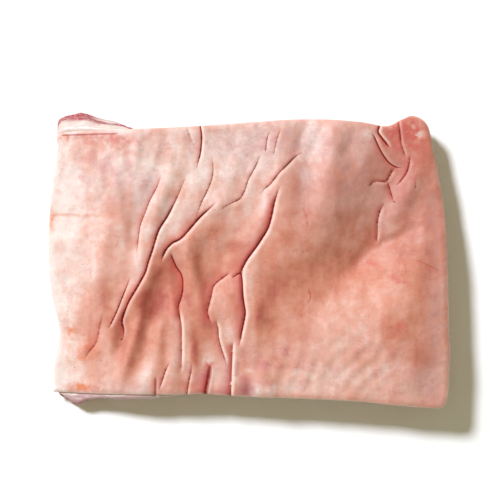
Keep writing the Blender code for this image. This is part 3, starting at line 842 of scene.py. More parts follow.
@dataclass
class Shell:
    """Points and faces of a closed surface while it is being put together."""

    points: list[Array] = field(default_factory=list)
    quads: list[Array] = field(default_factory=list)
    triangles: list[Array] = field(default_factory=list)
    count: int = 0

    def add_points(self, points: Array) -> Array:
        """Takes rows of X, Y and Z and gives back their numbers."""
        self.points.append(points.reshape(-1, 3))
        first, self.count = self.count, self.count + len(self.points[-1])
        return np.arange(first, self.count)

    def join_rings(self, rings: list[Array]) -> None:
        """Adds the squares between rings of as many points, from the top down, facing out."""
        for upper, lower in zip(rings, rings[1:]):
            after_upper, after_lower = np.roll(upper, -1), np.roll(lower, -1)
            self.quads.append(np.stack([upper, lower, after_lower, after_upper], axis=1))

    def join_uneven(self, fine: Array, coarse: Array, fine_above: bool) -> None:
        """Joins a ring to one with fewer points by fans of triangles with squares between them.

        Args:
            fine: numbers of the ring with more points.
            coarse: numbers of the other ring, whose first point is beside the first fine one.
            fine_above: whether the fine ring comes first on the way down.
        """
        ratio = len(fine) // len(coarse)
        half = ratio // 2
        centre = np.arange(len(coarse)) * ratio
        for step in range(-half, half):
            here, there = fine[(centre + step) % len(fine)], fine[(centre + step + 1) % len(fine)]
            fan = [here, coarse, there] if fine_above else [coarse, here, there]
            self.triangles.append(np.stack(fan, axis=1))
        here, there = fine[(centre + half) % len(fine)], fine[(centre + half + 1) % len(fine)]
        after = np.roll(coarse, -1)
        square = [here, coarse, after, there] if fine_above else [coarse, here, there, after]
        self.quads.append(np.stack(square, axis=1))

    def fill_patch(self, numbers: Array, facing_up: bool) -> None:
        """Adds the squares of a grid of point numbers."""
        corners = [numbers[:-1, :-1], numbers[1:, :-1], numbers[1:, 1:], numbers[:-1, 1:]]
        square = np.stack([corner.ravel() for corner in corners], axis=1)
        self.quads.append(square if facing_up else square[:, ::-1])

    def fill_creased(self, numbers: Array, gap: Array) -> None:
        """Adds a grid that faces up as triangles, with each square split along the crease.

        Args:
            numbers: the grid of point numbers.
            gap: each point's distance to the nearest crease, on the same grid.
        """
        a, b, c, d = (numbers[:-1, :-1], numbers[1:, :-1], numbers[1:, 1:], numbers[:-1, 1:])
        first = gap[:-1, :-1] + gap[1:, 1:] <= gap[1:, :-1] + gap[:-1, 1:]
        for split, tail, left, tip, right in ((first, a, b, c, d), (~first, b, c, d, a)):
            tail, left, tip, right = (corner[split] for corner in (tail, left, tip, right))
            self.triangles.append(np.stack([tail, left, tip], axis=1))
            self.triangles.append(np.stack([tail, tip, right], axis=1))

    def to_object(self, name: str, attributes: dict[str, Array]) -> bpy.types.Object:
        """Makes the mesh and its object, with the middle of the slab at the origin.

        Args:
            name: the piece's name.
            attributes: values for each point by attribute name.

        Returns:
            The object, linked into the scene, with smooth faces.
        """
        points = np.vstack(self.points)
        points[:, :2] -= MIDDLE
        faces = [np.vstack(kind) for kind in (self.quads, self.triangles) if kind]
        sizes = np.concatenate([np.full(len(kind), kind.shape[1]) for kind in faces])
        mesh = bpy.data.meshes.new(name)
        mesh.vertices.add(len(points))
        mesh.vertices.foreach_set("co", (points * MM).astype(np.float32).ravel())
        mesh.loops.add(int(sizes.sum()))
        mesh.loops.foreach_set("vertex_index", np.concatenate([kind.ravel() for kind in faces]))
        mesh.polygons.add(len(sizes))
        mesh.polygons.foreach_set("loop_start", np.concatenate([[0], np.cumsum(sizes)[:-1]]))
        mesh.polygons.foreach_set("use_smooth", np.ones(len(sizes), bool))
        for key, values in attributes.items():
            layer = mesh.attributes.new(key, "FLOAT", "POINT")
            layer.data.foreach_set("value", values.astype(np.float32))
        mesh.update(calc_edges=True)
        mesh.validate()
        return in_scene(name, mesh)


def in_scene(name: str, data: bpy.types.ID) -> bpy.types.Object:
    """Makes an object of a mesh, a lamp or a camera, and links it into the scene."""
    made = bpy.data.objects.new(name, data)
    bpy.context.scene.collection.objects.link(made)
    return made


@dataclass(frozen=True)
class Plan:
    """The slab seen from above, as a ring of even steps that starts at the front left corner."""

    knots: tuple = SKIN_EDGE
    corners: tuple = CORNERS
    columns: int = COLUMNS
    rows: int = ROWS
    fineness: float = 0.5

    def ring(self) -> Array:
        """Splits the edge at the four corners and resamples each side evenly.

        Returns:
            The points of the ring, counterclockwise, twice columns and rows in all.
        """
        fine = smooth_route(self.knots, self.fineness, closed=True)[::-1]
        starts = [np.hypot(*(fine - corner).T).argmin() for corner in np.array(self.corners, float)]
        fine = np.roll(fine, -starts[0], axis=0)
        starts = [(start - starts[0]) % len(fine) for start in starts] + [len(fine)]
        fine = np.vstack([fine, fine[:1]])
        counts = (self.columns, self.rows, self.columns, self.rows)
        return np.vstack([evenly(fine[start : end + 1], count)[:-1]
                          for start, end, count in zip(starts, starts[1:], counts)])

    def sides(self, ring: Array, ratio: int = 1) -> tuple[Array, Array, Array, Array]:
        """Cuts what a ring holds into its four sides, each running with X or Y.

        Args:
            ring: points or numbers, in the order of the ring.
            ratio: how many squares of the full grid make one here.

        Returns:
            The front, right, back and left side, each with both of its corners.
        """
        columns, rows = self.columns // ratio, self.rows // ratio
        right_end, back_end = columns + rows, 2 * columns + rows
        front, right = ring[: columns + 1], ring[columns : right_end + 1]
        back = ring[right_end : back_end + 1][::-1]
        return front, right, back, np.concatenate([ring[back_end:], ring[:1]])[::-1]

    def spread(self, ring: Array, ratio: int = 1) -> Array:
        """Works out the inner points of a grid whose border is a ring, by Coons's rule.

        The rule blends the front and back sides over Y and the left and right sides over X,
        and takes off the blend of the four corners, which both hold.

        Args:
            ring: the points of the ring.
            ratio: how many squares of the full grid make one here.

        Returns:
            The inner points, one row each, columns first.
        """
        front, right, back, left = self.sides(ring, ratio)
        u = np.linspace(0, 1, len(front))[:, None, None]
        v = np.linspace(0, 1, len(left))[None, :, None]
        across = (1 - v) * front[:, None] + v * back[:, None]
        along = (1 - u) * left[None] + u * right[None]
        corners = (1 - u) * ((1 - v) * front[0] + v * back[0])
        corners = corners + u * ((1 - v) * front[-1] + v * back[-1])
        return (across + along - corners)[1:-1, 1:-1].reshape(-1, 2)

    def numbered(self, ring: Array, first: int, ratio: int = 1) -> Array:
        """Numbers a grid whose border is a ring and whose inner points come after it.

        Args:
            ring: the numbers of the ring.
            first: the number of the first inner point.
            ratio: how many squares of the full grid make one here.

        Returns:
            The grid of numbers, columns first.
        """
        front, right, back, left = self.sides(ring, ratio)
        numbers = np.zeros((len(front), len(left)), int)
        numbers[:, 0], numbers[:, -1], numbers[0], numbers[-1] = front, back, left, right
        inner = numbers[1:-1, 1:-1]
        numbers[1:-1, 1:-1] = first + np.arange(inner.size).reshape(inner.shape)
        return numbers


def with_height(plan: Array, height: Array | float) -> Array:
    """Puts plan points at a height, as rows of X, Y and Z."""
    return np.column_stack([plan, np.broadcast_to(height, len(plan))])


@dataclass
class Rind:
    """The skin of the slab: its wrinkled top, its rounded shoulder and its cut edge.

    From thin_from on to the left the cut edge loses thin_share of its thickness over thin_run.
    """

    relief: SkinRelief
    plan: Plan
    thickness: float = 2.3
    thin_share: float = 0.7
    thin_from: float = -20.0
    thin_run: float = 60.0
    # Share of the cut edge's height, and how far it leans in there
    cut_steps: tuple = ((0.16, 0.05), (0.45, 0.18), (0.75, 0.34), (1.0, 0.5))
    side_reach: float = 6.0
    side_drop: float = 3.0
    end_reach: float = 5.0
    end_drop: float = 2.4
    shoulder_rings: int = 13
    # Share of the shoulder where its pale rim starts, its strength, and its loss for each Y. The pale rim
    # is partly the skin's paler edge and partly painted light, strongest at the front, which faces away
    # from the light
    rim_from: float = 0.35
    rim_pale_and_light: float = 0.6
    rim_pale_and_light_fall: float = 0.003
    hidden_inset: float = 4.0
    hidden_depth: float = 10.0
    snap_reach: float = 0.62

    def shoulder(self) -> list[Array]:
        """Rolls the skin over at its edge as a quarter of an ellipse.

        Returns:
            Rings of points from the inside out. The last one is the rim, and the only one that
            isn't snapped to the creases.
        """
        edge = self.plan.ring()
        towards = self.relief.body.inward(edge)
        share = np.clip(-towards[:, 0], 0, 1) ** 2
        reach = self.end_reach + (self.side_reach - self.end_reach) * share
        drop = self.end_drop + (self.side_drop - self.end_drop) * share
        rings = []
        angles = np.linspace(0, math.pi / 2, self.shoulder_rings)
        for angle in angles:
            place = edge + towards * reach[:, None] * (1 - math.sin(angle))
            if angle < angles[-1]:
                place = self.relief.snapped(place, self.snap_reach)
            height = self.relief.height(place) - drop * (1 - math.cos(angle))
            rings.append(with_height(place, height))
        return rings

    def cut_edge(self, rim: Array) -> list[Array]:
        """Takes the rim down the cut, with a small round at the top, leaning in by its steps.

        Args:
            rim: the ring that ends the shoulder.

        Returns:
            Rings of points from just below the rim to the bottom of the cut.
        """
        towards = self.relief.body.inward(rim[:, :2])
        thin = self.thin_share * smoothstep((self.thin_from - rim[:, 0]) / self.thin_run)
        thick = self.thickness * (1 - thin)
        return [with_height(rim[:, :2] + towards * inset, rim[:, 2] - thick * share)
                for share, inset in self.cut_steps]

    def ceiling(self, ring: Array) -> tuple[Array, Array]:
        """Lays out the hidden surface where the rind and the flesh meet.

        Args:
            ring: the ring at the bottom of the cut.

        Returns:
            The coarse ring just inside it and the inner points of its grid, both at the height
            of the smooth skin less the hidden depth.
        """
        inner = ring[::HIDDEN_RATIO, :2]
        inner = inner + self.relief.body.inward(inner) * self.hidden_inset
        return tuple(with_height(part, self.relief.smooth_height(part) - self.hidden_depth)
                     for part in (inner, self.plan.spread(inner, HIDDEN_RATIO)))

    def marks(self, points: Array, cut: Array, rim: Array) -> dict[str, Array]:
        """Works out what the skin's finish reads at each point.

        Args:
            points: all the points of the piece.
            cut: 1 at the points of the cut edge and below it, 0 on the skin.
            rim: how near each point is to the rim, from 0 to 1.

        Returns:
            Values for each point by attribute name.
        """
        plan = points[:, :2]
        # The crease lines are painted shade down each fold
        gap, crease_shade = self.relief.lines(plan)
        # Red painted as shade on each crease's shaded flank, and pale painted as a highlight on its lip
        red_shade, pale_highlight = self.relief.flanks(plan)
        marks = {"gap": gap, "crease_shade": crease_shade * (1 - cut), "cut": cut, "red_shade": red_shade * (1 - cut),
                 # The pale rim is partly the skin's paler edge and partly painted light, strongest at the
                 # front
                 "pale_highlight": np.maximum(pale_highlight, rim * (self.rim_pale_and_light - self.rim_pale_and_light_fall * plan[:, 1]))}
        for tint, patches in PATCHES.items():
            marks[tint.value] = sum(strength * Oval(*oval).bell(plan) for *oval, strength in patches)
        return marks

    def build(self) -> bpy.types.Object:
        """Puts the rind together, from the skin down.

        Returns:
            The piece.
        """
        shell = Shell()
        shoulder = self.shoulder()
        cut = self.cut_edge(shoulder[-1])
        rings = [shell.add_points(ring) for ring in shoulder + cut]
        inner = self.relief.snapped(self.plan.spread(shoulder[0][:, :2]), self.snap_reach)
        numbers = self.plan.numbered(rings[0], shell.count)
        shell.add_points(with_height(inner, self.relief.height(inner)))
        gap, _ = self.relief.lines(np.vstack(shell.points)[:, :2])
        shell.fill_creased(numbers, gap[numbers])
        shell.join_rings(rings)
        border, filling = self.ceiling(cut[-1])
        coarse = shell.add_points(border)
        shell.join_uneven(rings[-1], coarse, fine_above=True)
        hidden = self.plan.numbered(coarse, shell.count, HIDDEN_RATIO)
        shell.add_points(filling)
        shell.fill_patch(hidden, facing_up=False)
        rim = np.zeros(shell.count)
        for place, ring in enumerate(rings[: len(shoulder)]):
            share = place / (len(shoulder) - 1)
            rim[ring] = smoothstep((share - self.rim_from) / (1 - self.rim_from))
        is_cut = np.zeros(shell.count)
        is_cut[rings[len(shoulder)][0] : rings[-1][-1] + 1] = 1.0
        is_cut[coarse[0] :] = 1.0
        return shell.to_object("rind", self.marks(np.vstack(shell.points), is_cut, rim))


@dataclass
class Flesh:
    """Fat and lean below the rind: the layered cut side and the underside."""

    rind: Rind
    lobes: tuple[Lobe, ...] = LOBES
    undercut: float = 1.4
    foot_inset: float = 6.0
    foot_rings: int = 6
    wall_rings: int = 30
    crowding: float = 1.4
    # Share of the height over which the side gets loose below the rind
    loose_run: float = 0.07
    # Amount of each wave of the side, its turns round the slab and its pace down the side
    layer_wave: tuple = (0.14, 5, 7)
    fine_wave: tuple = (0.08, 11, -4)
    side_wave: tuple = (0.5, 9, 11)
    # How much heights are stretched for the side's ripples, so that these lie along the layers
    ripple_stretch: float = 2.0
    # Share of the height where the tinge starts and its run, the same for the foot of the lean,
    # and the run of the lean's top edge
    tinge_edge: tuple = (0.55, 0.2)
    meat_foot: tuple = (0.2, 0.1)
    meat_run: float = 0.05
    seam_gap: float = 0.02
    hidden_gap: float = 0.15
    # Underside: how far it shows at the foot, and the run over which its hollows start
    foot_under: float = 0.15
    under_run: float = 8.0
    border_step: float = 6.0
    rib_pitch: float = 28.0
    rib_depth: float = 2.2
    rib_width: float = 14.0
    rib_count: int = 9
    rib_first: float = -112.0
    rib_slant: float = math.radians(9.0)
    rib_front: float = -34.0
    rib_sway: float = 9.0
    rib_back: float = 88.0
    rib_run_out: float = 26.0
    # Share of the height, and how far the side stands out there
    steps: tuple = (
        (1.00, 0.9), (0.93, -1.0), (0.74, 0.1), (0.62, -0.9),
        (0.50, 0.5), (0.38, -0.5), (0.26, 0.6), (0.13, -0.6),
    )
    wall_ripples: tuple[Ripple, ...] = (Ripple(17.0, 0.32, 2), Ripple(5.0, 0.16, 4))
    under_ripples: tuple[Ripple, ...] = (Ripple(22.0, 0.30, 6), Ripple(7.0, 0.12, 9))

    def lobed(self, bells: list[Array], sizes: list[float]) -> Array | float:
        """Adds up the lobes at each point of the edge, each with its own size of something."""
        return sum(size * bell for size, bell in zip(sizes, bells))

    def pushed(self, bells: list[Array], share: float) -> Array:
        """Adds up the lobes as a push at one height of the side.

        Args:
            bells: how much of each lobe shows at each point of the edge.
            share: the height, from 0 at the floor to 1 under the rind.

        Returns:
            The push in X and Y at each point.
        """
        pulls = [lobe.pull(share) * bell for lobe, bell in zip(self.lobes, bells)]
        spread = self.lobed(pulls, [-lobe.spread for lobe in self.lobes])
        reach = self.lobed(pulls, [lobe.side * lobe.reach for lobe in self.lobes])
        return np.column_stack([spread, reach])

    def stand_out(self, share: float) -> float:
        """Eases between the steps of the side as a smoothstep.

        Args:
            share: the height, from 0 at the floor to 1 under the rind.

        Returns:
            How far the side stands out there.
        """
        shares, outs = np.array(self.steps).T[:, ::-1]
        step = min(np.searchsorted(shares, share, side="right"), len(shares) - 1)
        between = smoothstep((share - shares[step - 1]) / (shares[step] - shares[step - 1]))
        return outs[step - 1] * (1 - between) + outs[step] * between

    def wall(self, edge: Array, rim: Array, bells: list[Array]) -> tuple[list[Array], list[float]]:
        """Steps the cut side in and out between its layers, from the rind down to the foot.

        The height is the share of the flesh, moved by sines of the bearing round the slab and
        the share. The foot rolls under as a quarter of an ellipse.

        Args:
            edge: the edge of the skin.
            rim: the ring at the bottom of the rind's cut.
            bells: how much of each lobe shows at each point of the edge.

        Returns:
            The rings from the top down, and each ring's share of the height of the flesh.
        """
        towards = self.rind.relief.body.inward(edge)
        bearing, length = np.arctan2(edge[:, 1], edge[:, 0]), path_length(edge)
        lowest = self.steps[-1][0]
        rings, levels = [], []
        for share in 1.0 - (1.0 - lowest) * np.linspace(0, 1, self.wall_rings) ** self.crowding:
            waves = (self.layer_wave, self.fine_wave, self.side_wave)
            layer, fine, side = (amount * np.sin(turns * bearing + pace * share)
                                 for amount, turns, pace in waves)
            height = rim[:, 2] * (share + (layer + fine) * share * (1 - share))
            loose = smoothstep((1.0 - share) / self.loose_run)
            patch = np.column_stack([length, height * self.ripple_stretch])
            uneven = sum(ripple.height_at(patch) for ripple in self.wall_ripples)
            stand = self.stand_out(share) + loose * side + loose * uneven
            place = edge + towards * (self.undercut - stand)[:, None] + self.pushed(bells, share)
            rings.append(with_height(place, height - (self.seam_gap if share == 1.0 else 0.0)))
            levels.append(share)
        low, foot = rings[-1], edge + towards * self.foot_inset + self.pushed(bells, 0.0)
        for angle in np.linspace(0, math.pi / 2, self.foot_rings + 1)[1:]:
            place = foot + (low[:, :2] - foot) * math.cos(angle)
            rings.append(with_height(place, low[:, 2] * (1 - math.sin(angle))))
            levels.append(lowest * (1 - math.sin(angle)))
        return rings, levels

    def marks(self, bells: list[Array], share: float) -> tuple[Array, Array, Array]:
        """Works out what the finish reads at one height of the side.

        Args:
            bells: how much of each lobe shows at each point of the edge.
            share: the height, from 0 at the floor to 1 under the rind.

        Returns:
            How deep each point is in the layers, from 0 under the rind to 1 at the underside,
            how far its fat is tinged by the lean, and how far lean covers it.
        """
        rise = self.lobed(bells, [lobe.rise for lobe in self.lobes])
        tinge = self.lobed(bells, [lobe.tinge for lobe in self.lobes])
        meat = self.lobed(bells, [lobe.meat * smoothstep((lobe.meat_top - share) / self.meat_run)
                                  for lobe in self.lobes])
        tinge_from, tinge_run = self.tinge_edge
        meat_from, meat_run = self.meat_foot
        return (1.0 - share + rise * 4 * share * (1 - share),
                tinge * smoothstep((share - tinge_from) / tinge_run),
                meat * smoothstep((share - meat_from) / meat_run))

    def under_height(self, points: Array) -> Array:
        """Raises the underside over each rib's hollow, and a little where the meat is uneven.

        The hollow is the depth times one less the square of the share of its half width. It
        runs out as a smoothstep at both ends, and its front end sways from rib to rib as the
        cosine of twice the rib's number.

        Args:
            points: plan points, one row each.

        Returns:
            The height of the underside above the floor.
        """
        slanted = points[:, 0] - math.tan(self.rib_slant) * points[:, 1]
        share = (slanted - self.rib_first) / self.rib_pitch
        rib = np.clip(np.round(share), 0, self.rib_count - 1)
        across = (share - rib) * self.rib_pitch
        front = self.rib_front - self.rib_sway * np.cos(2 * rib)
        along = np.minimum(points[:, 1] - front, self.rib_back - points[:, 1])
        bowl = np.clip(1 - (2 * across / self.rib_width) ** 2, 0, 1)
        uneven = sum(ripple.height_at(points) for ripple in self.under_ripples)
        return self.rib_depth * smoothstep(along / self.rib_run_out) * bowl + np.clip(uneven, 0, None)

    def build(self) -> bpy.types.Object:
        """Puts the flesh together, from the top down.

        Returns:
            The piece.
        """
        plan, edge = self.rind.plan, self.rind.plan.ring()
        rim = self.rind.cut_edge(self.rind.shoulder()[-1])[-1]
        shell = Shell()
        border, filling = self.rind.ceiling(rim)
        coarse = shell.add_points(border - [0, 0, self.hidden_gap])
        hidden = plan.numbered(coarse, shell.count, HIDDEN_RATIO)
        shell.add_points(filling - [0, 0, self.hidden_gap])
        shell.fill_patch(hidden, facing_up=True)
        covered = shell.count
        half_width = self.rind.relief.body.width / 2
        bells = [lobe.bell(edge, half_width) for lobe in self.lobes]
        walls, levels = self.wall(edge, rim, bells)
        rings = [shell.add_points(ring) for ring in walls]
        shell.join_uneven(rings[0], coarse, fine_above=False)
        shell.join_rings(rings)
        inner = plan.spread(walls[-1][:, :2])
        numbers = plan.numbered(rings[-1], shell.count)
        border_route = smooth_route(plan.knots, self.border_step, closed=True)
        border_gap = np.abs(nearest_on(inner, border_route)[0])
        rise = smoothstep((border_gap - self.foot_inset) / self.under_run)
        shell.add_points(with_height(inner, self.under_height(inner) * rise))
        shell.fill_patch(numbers, facing_up=False)
        layers, tinges, meats = zip(*(self.marks(bells, share) for share in levels))
        above, below = np.zeros(covered), np.zeros(len(inner))
        under = np.zeros(shell.count)
        under[rings[-1]] = self.foot_under
        under[-len(inner) :] = rise
        marks = {"layer": np.concatenate([above, *layers, below + 1]), "under": under,
                 "tinged": np.concatenate([above, *tinges, below]),
                 "meat": np.concatenate([above, *meats, below])}
        return shell.to_object("flesh", marks)


def linear(code: str) -> tuple[float, float, float, float]:
    """Turns an sRGB hex colour into linear red, green and blue with full alpha."""
    parts = [int(code[i : i + 2], 16) / 255 for i in (1, 3, 5)]
    return (*(p / 12.92 if p <= 0.04045 else ((p + 0.055) / 1.055) ** 2.4 for p in parts), 1.0)


def feed(tree: bpy.types.NodeTree, node: bpy.types.Node, links: dict) -> None:
    """Feeds a node's inputs, by name or number, with sockets or plain values."""
    for key, value in links.items():
        if isinstance(value, Socket):
            tree.links.new(value, node.inputs[key])
        else:
            node.inputs[key].default_value = value


def add_node(tree: bpy.types.NodeTree, kind: str, links: dict, **settings: Any) -> bpy.types.Node:
    """Adds a node with its settings and links.

    Args:
        tree: the tree that gets the node.
        kind: the node's type without its ShaderNode prefix.
        links: for an input's name or number, the socket that feeds it or its plain value.
        settings: the node's own options by name.

    Returns:
        The node.
    """
    node = tree.nodes.new("ShaderNode" + kind)
    for key, value in settings.items():
        setattr(node, key, value)
    feed(tree, node, links)
    return node


# Numbers of the Mix node's colour sockets
MIX_FACTOR, MIX_A, MIX_B, MIX_OUT = 0, 6, 7, 2


class Finish:
    """A new material, with the steps that its colour and relief are worked out by."""

    def __init__(self, name: str) -> None:
        """Starts with only the Principled shader."""
        self.material = bpy.data.materials.new(name)
        self.material.use_nodes = True
        self.tree = self.material.node_tree

    def place(self) -> Socket:
        """Gives the place on the piece, in metres."""
        return add_node(self.tree, "TexCoord", {}).outputs["Object"]

    def read(self, name: str) -> Socket:
        """Reads an attribute of the piece."""
        return add_node(self.tree, "Attribute", {}, attribute_name=name).outputs["Fac"]

    def stretched(self, place: Socket, scale: tuple, turn: float = 0.0) -> Socket:
        """Scales the place and turns it about Z, in degrees. A small scale makes long features."""
        links = {"Vector": place, "Rotation": (0.0, 0.0, math.radians(turn)), "Scale": scale}
        return add_node(self.tree, "Mapping", links).outputs["Vector"]

    def noise(self, place: Socket, size: float, detail: float, **more: float) -> Socket:
        """Makes a noise with features of that size in millimetres and so many octaves."""
        links = {"Vector": place, "Scale": 1 / (size * MM), "Detail": detail, **more}
        return add_node(self.tree, "TexNoise", links).outputs["Fac"]

    def maths(self, operation: str, *values: Socket | float, clamp: bool = False) -> Socket:
        """Works out an operation on sockets or plain values."""
        links = dict(enumerate(values))
        return add_node(self.tree, "Math", links, operation=operation, use_clamp=clamp).outputs[0]

    def swayed(self, value: Socket, noise: Socket, amount: float) -> Socket:
        """Adds the amount times how far the noise is off its middle."""
        return self.maths("MULTIPLY_ADD", self.maths("SUBTRACT", noise, 0.5), amount, value)

    def ranged(self, value: Socket, start: float, end: float, to: tuple = (0.0, 1.0),
               eased: bool = False) -> Socket:
        """Turns start to end into 0 to 1, or another range, straight or eased."""
        links = {"Value": value, "From Min": start, "From Max": end, "To Min": to[0], "To Max": to[1]}
        kind = "SMOOTHSTEP" if eased else "LINEAR"
        return add_node(self.tree, "MapRange", links, interpolation_type=kind).outputs[0]

    def threads(self, noise: Socket, start: float, end: float, most: float) -> Socket:
        """Draws thin lines along the middle of a noise, from nothing at start to most at end."""
        off = self.maths("ABSOLUTE", self.maths("SUBTRACT", noise, 0.5))
        return self.ranged(off, start, end, (0.0, most))

    def mixed(self, share: Socket, below: Socket | str, above: Socket | str) -> Socket:
        """Blends two colours, each a socket or a hex code, by the share of the second."""
        first, second = (linear(part) if isinstance(part, str) else part for part in (below, above))
        links = {MIX_FACTOR: share, MIX_A: first, MIX_B: second}
        return add_node(self.tree, "Mix", links, data_type="RGBA").outputs[MIX_OUT]

    def surface(self, relief: Socket, strength: float, height: float, inputs: dict) -> bpy.types.Material:
        """Finishes the material.

        Args:
            relief: the height of the fine relief, from 0 to about 1.
            strength: how strongly it shows.
            height: how high it is, in millimetres.
            inputs: what else feeds the Principled shader, by input name.

        Returns:
            The material.
        """
        bump = add_node(self.tree, "Bump", {"Height": relief, "Strength": strength, "Distance": height * MM})
        links = {"Normal": bump.outputs["Normal"], **inputs}
        feed(self.tree, self.tree.nodes["Principled BSDF"], links)
        return self.material


class Grain(Enum):
    """Which way a noise runs on the slab: its scale along X and Y, and its turn in degrees."""

    EVEN = (1.0, 1.0, 0.0)
    ACROSS = (1.0, 0.22, -8.0)
    ALONG = (0.4, 1.0, 0.0)


@dataclass(frozen=True)
class Mottle:
    """A noise of the skin: feature size in millimetres, octaves and how much it sways the tone."""

    size: float
    detail: float
    amount: float
    grain: Grain = Grain.EVEN


@dataclass(frozen=True)
class PorkSkin:
    """Scalded and scraped pork skin, chilled and moist.

    Scalding leaves it smooth and nearly hairless, with fine grain and pores. The fat below
    lends it cream, and blood near the surface pink, so the eye reads it as soft and slightly
    see-through. Each pair of numbers is where a pattern starts and where it is full.
    """

    cream: str = "#F0DDD6"
    pink: str = "#DFAC9C"
    salmon: str = "#CE8770"
    brick: str = "#AC5547"
    blotch: str = "#C67A78"
    lilac: str = "#C4A0A4"
    stain: str = "#DA8560"
    flush: str = "#CC6A5E"
    # Purple-red of bruises, also used as painted shade on slopes that face away from the light
    bruise_and_shade: str = "#8E4350"
    # Dark red painted as shade down the fold of each crease
    line: str = "#8E1C14"
    vein: str = "#B65648"
    cut: str = "#E6C4B0"
    # Red painted as shade on the shaded left side of each crease
    red_shade: str = "#CC4F4C"
    # Pale painted as a highlight on the crease lips, and on the rim partly as painted light
    pale_highlight: str = "#FFEFE2"
    pore: str = "#7A4038"
    # Tone from each of the first four colours to the next
    tone_step: float = 0.5
    # Stretch of X in metres over which the tone rises to the right, and by how much
    rises: tuple = ((-0.165, -0.105, 0.42), (-0.045, 0.060, 0.40))
    mottles: tuple[Mottle, ...] = (
        Mottle(42.0, 2.0, 0.40),
        Mottle(15.0, 3.0, 0.85),
        Mottle(6.0, 3.0, 0.35),
        Mottle(1.5, 2.0, 0.10),
        Mottle(9.0, 2.0, 0.55, Grain.ACROSS),
        Mottle(2.6, 3.0, 0.10, Grain.ALONG),
    )
    mottle_roughness: float = 0.55
    blotch_size: float = 13.0
    blotch_edge: tuple = (0.47, 0.66)
    streak_edge: tuple = (0.30, 0.60)
    # Feature size of each net of veins, half the width of its veins and its grain
    veins: tuple = ((16.0, 0.010, Grain.EVEN), (7.0, 0.016, Grain.ALONG))
    vein_edge: tuple = (0.48, 0.60)
    vein_strength: float = 0.3
    red_shade_strength: float = 0.95
    pale_highlight_strength: float = 0.65
    pore_spacing: float = 11.0
    pore_edge: tuple = (0.045, 0.02)
    pore_left_out: float = 0.55
    line_edge: tuple = (1.7, 0.8)
    gloss_edge: tuple = (0.3, 0.7)
    roughness: tuple = (0.49, 0.65)
    grain_share: float = 0.5
    grain_strength: float = 0.6
    grain_height: float = 0.4
    depth_weight: float = 0.25
    depth_radius: tuple = (1.0, 0.35, 0.20)
    depth_millimetres: float = 3.0
    refraction: float = 1.38

    def build(self) -> bpy.types.Material:
        """Makes the material.

        Returns:
            The material, which reads Object coordinates and the rind's attributes.
        """
        finish = Finish("pork_skin")
        even = finish.place()
        places = {Grain.EVEN: even}
        for grain in (Grain.ACROSS, Grain.ALONG):
            x_scale, y_scale, turn = grain.value
            places[grain] = finish.stretched(even, (x_scale, y_scale, 1.0), turn)
        noises = [finish.noise(places[mottle.grain], mottle.size, mottle.detail,
                               Roughness=self.mottle_roughness) for mottle in self.mottles]
        middle, fine = noises[2:4]
        colour = self.ground(finish, even, noises)
        colour = self.patched(finish, places, middle, colour)
        colour = self.marked(finish, even, colour)
        relief = finish.maths("MULTIPLY_ADD", fine, self.grain_share, middle)
        return finish.surface(relief, self.grain_strength, self.grain_height, {
            "Base Color": colour,
            "Roughness": finish.ranged(middle, *self.gloss_edge, self.roughness),
            "Subsurface Weight": self.depth_weight,
            "Subsurface Radius": self.depth_radius,
            "Subsurface Scale": self.depth_millimetres * MM,
            "IOR": self.refraction,
        })

    def ground(self, finish: Finish, place: Socket, noises: list[Socket]) -> Socket:
        """Works out the ground colour from the tone, from cream by steps to brick.

        Args:
            finish: the material in the making.
            place: the place on the rind.
            noises: the noises of the mottles.

        Returns:
            The colour.
        """
        east = add_node(finish.tree, "SeparateXYZ", {"Vector": place}).outputs["X"]
        # The tone also carries shading painted by its patches
        tone_and_shading = finish.read(Tint.TONE_AND_SHADING.value)
        for start, end, rise in self.rises:
            tone_and_shading = finish.maths("ADD", tone_and_shading, finish.ranged(east, start, end, (0.0, rise), eased=True))
        for noise, mottle in zip(noises, self.mottles):
            tone_and_shading = finish.swayed(tone_and_shading, noise, mottle.amount)
        colour = self.cream
        for step, above in enumerate((self.pink, self.salmon, self.brick)):
            share = finish.ranged(tone_and_shading, step * self.tone_step, (step + 1) * self.tone_step)
            colour = finish.mixed(share, colour, above)
        return colour

    def patched(self, finish: Finish, places: dict[Grain, Socket], middle: Socket, colour: Socket) -> Socket:
        """Lays the tints, veins, red flanks and pale lips over the ground colour.

        Args:
            finish: the material in the making.
            places: the place on the rind, by grain.
            middle: the noise that breaks up most of the tints.
            colour: the ground colour.

        Returns:
            The colour.
        """
        spots = finish.noise(places[Grain.EVEN], self.blotch_size, 0.6, Distortion=0.2)
        patchy = finish.ranged(spots, *self.blotch_edge, eased=True)
        streaky = finish.ranged(middle, *self.streak_edge)
        nets = [finish.threads(finish.noise(places[grain], size, 3.0, Distortion=1.0), thin, 0.0,
                               self.vein_strength) for size, thin, grain in self.veins]
        layers = (
            (finish.read(Tint.BLOTCH.value), patchy, self.blotch),
            (finish.read(Tint.SPOT.value), streaky, self.blotch),
            (finish.read(Tint.LILAC.value), streaky, self.lilac),
            (finish.read(Tint.STAIN.value), streaky, self.stain),
            (finish.read(Tint.FLUSH.value), streaky, self.flush),
            # Bruises, and shade painted where their patches darken slopes that face away from the light
            (finish.read(Tint.BRUISE_AND_SHADE.value), 1.0, self.bruise_and_shade),
            (finish.maths("MAXIMUM", *nets), finish.ranged(spots, *self.vein_edge), self.vein),
            # Red painted as shade on the shaded flanks of the creases
            (finish.read("red_shade"), self.red_shade_strength, self.red_shade),
            # Pale painted as a highlight on the crease lips and, partly, as light on the rim
            (finish.read("pale_highlight"), self.pale_highlight_strength, self.pale_highlight),
        )
        for weight, pattern, tinted in layers:
            colour = finish.mixed(finish.maths("MULTIPLY", weight, pattern, clamp=True), colour, tinted)
        return colour

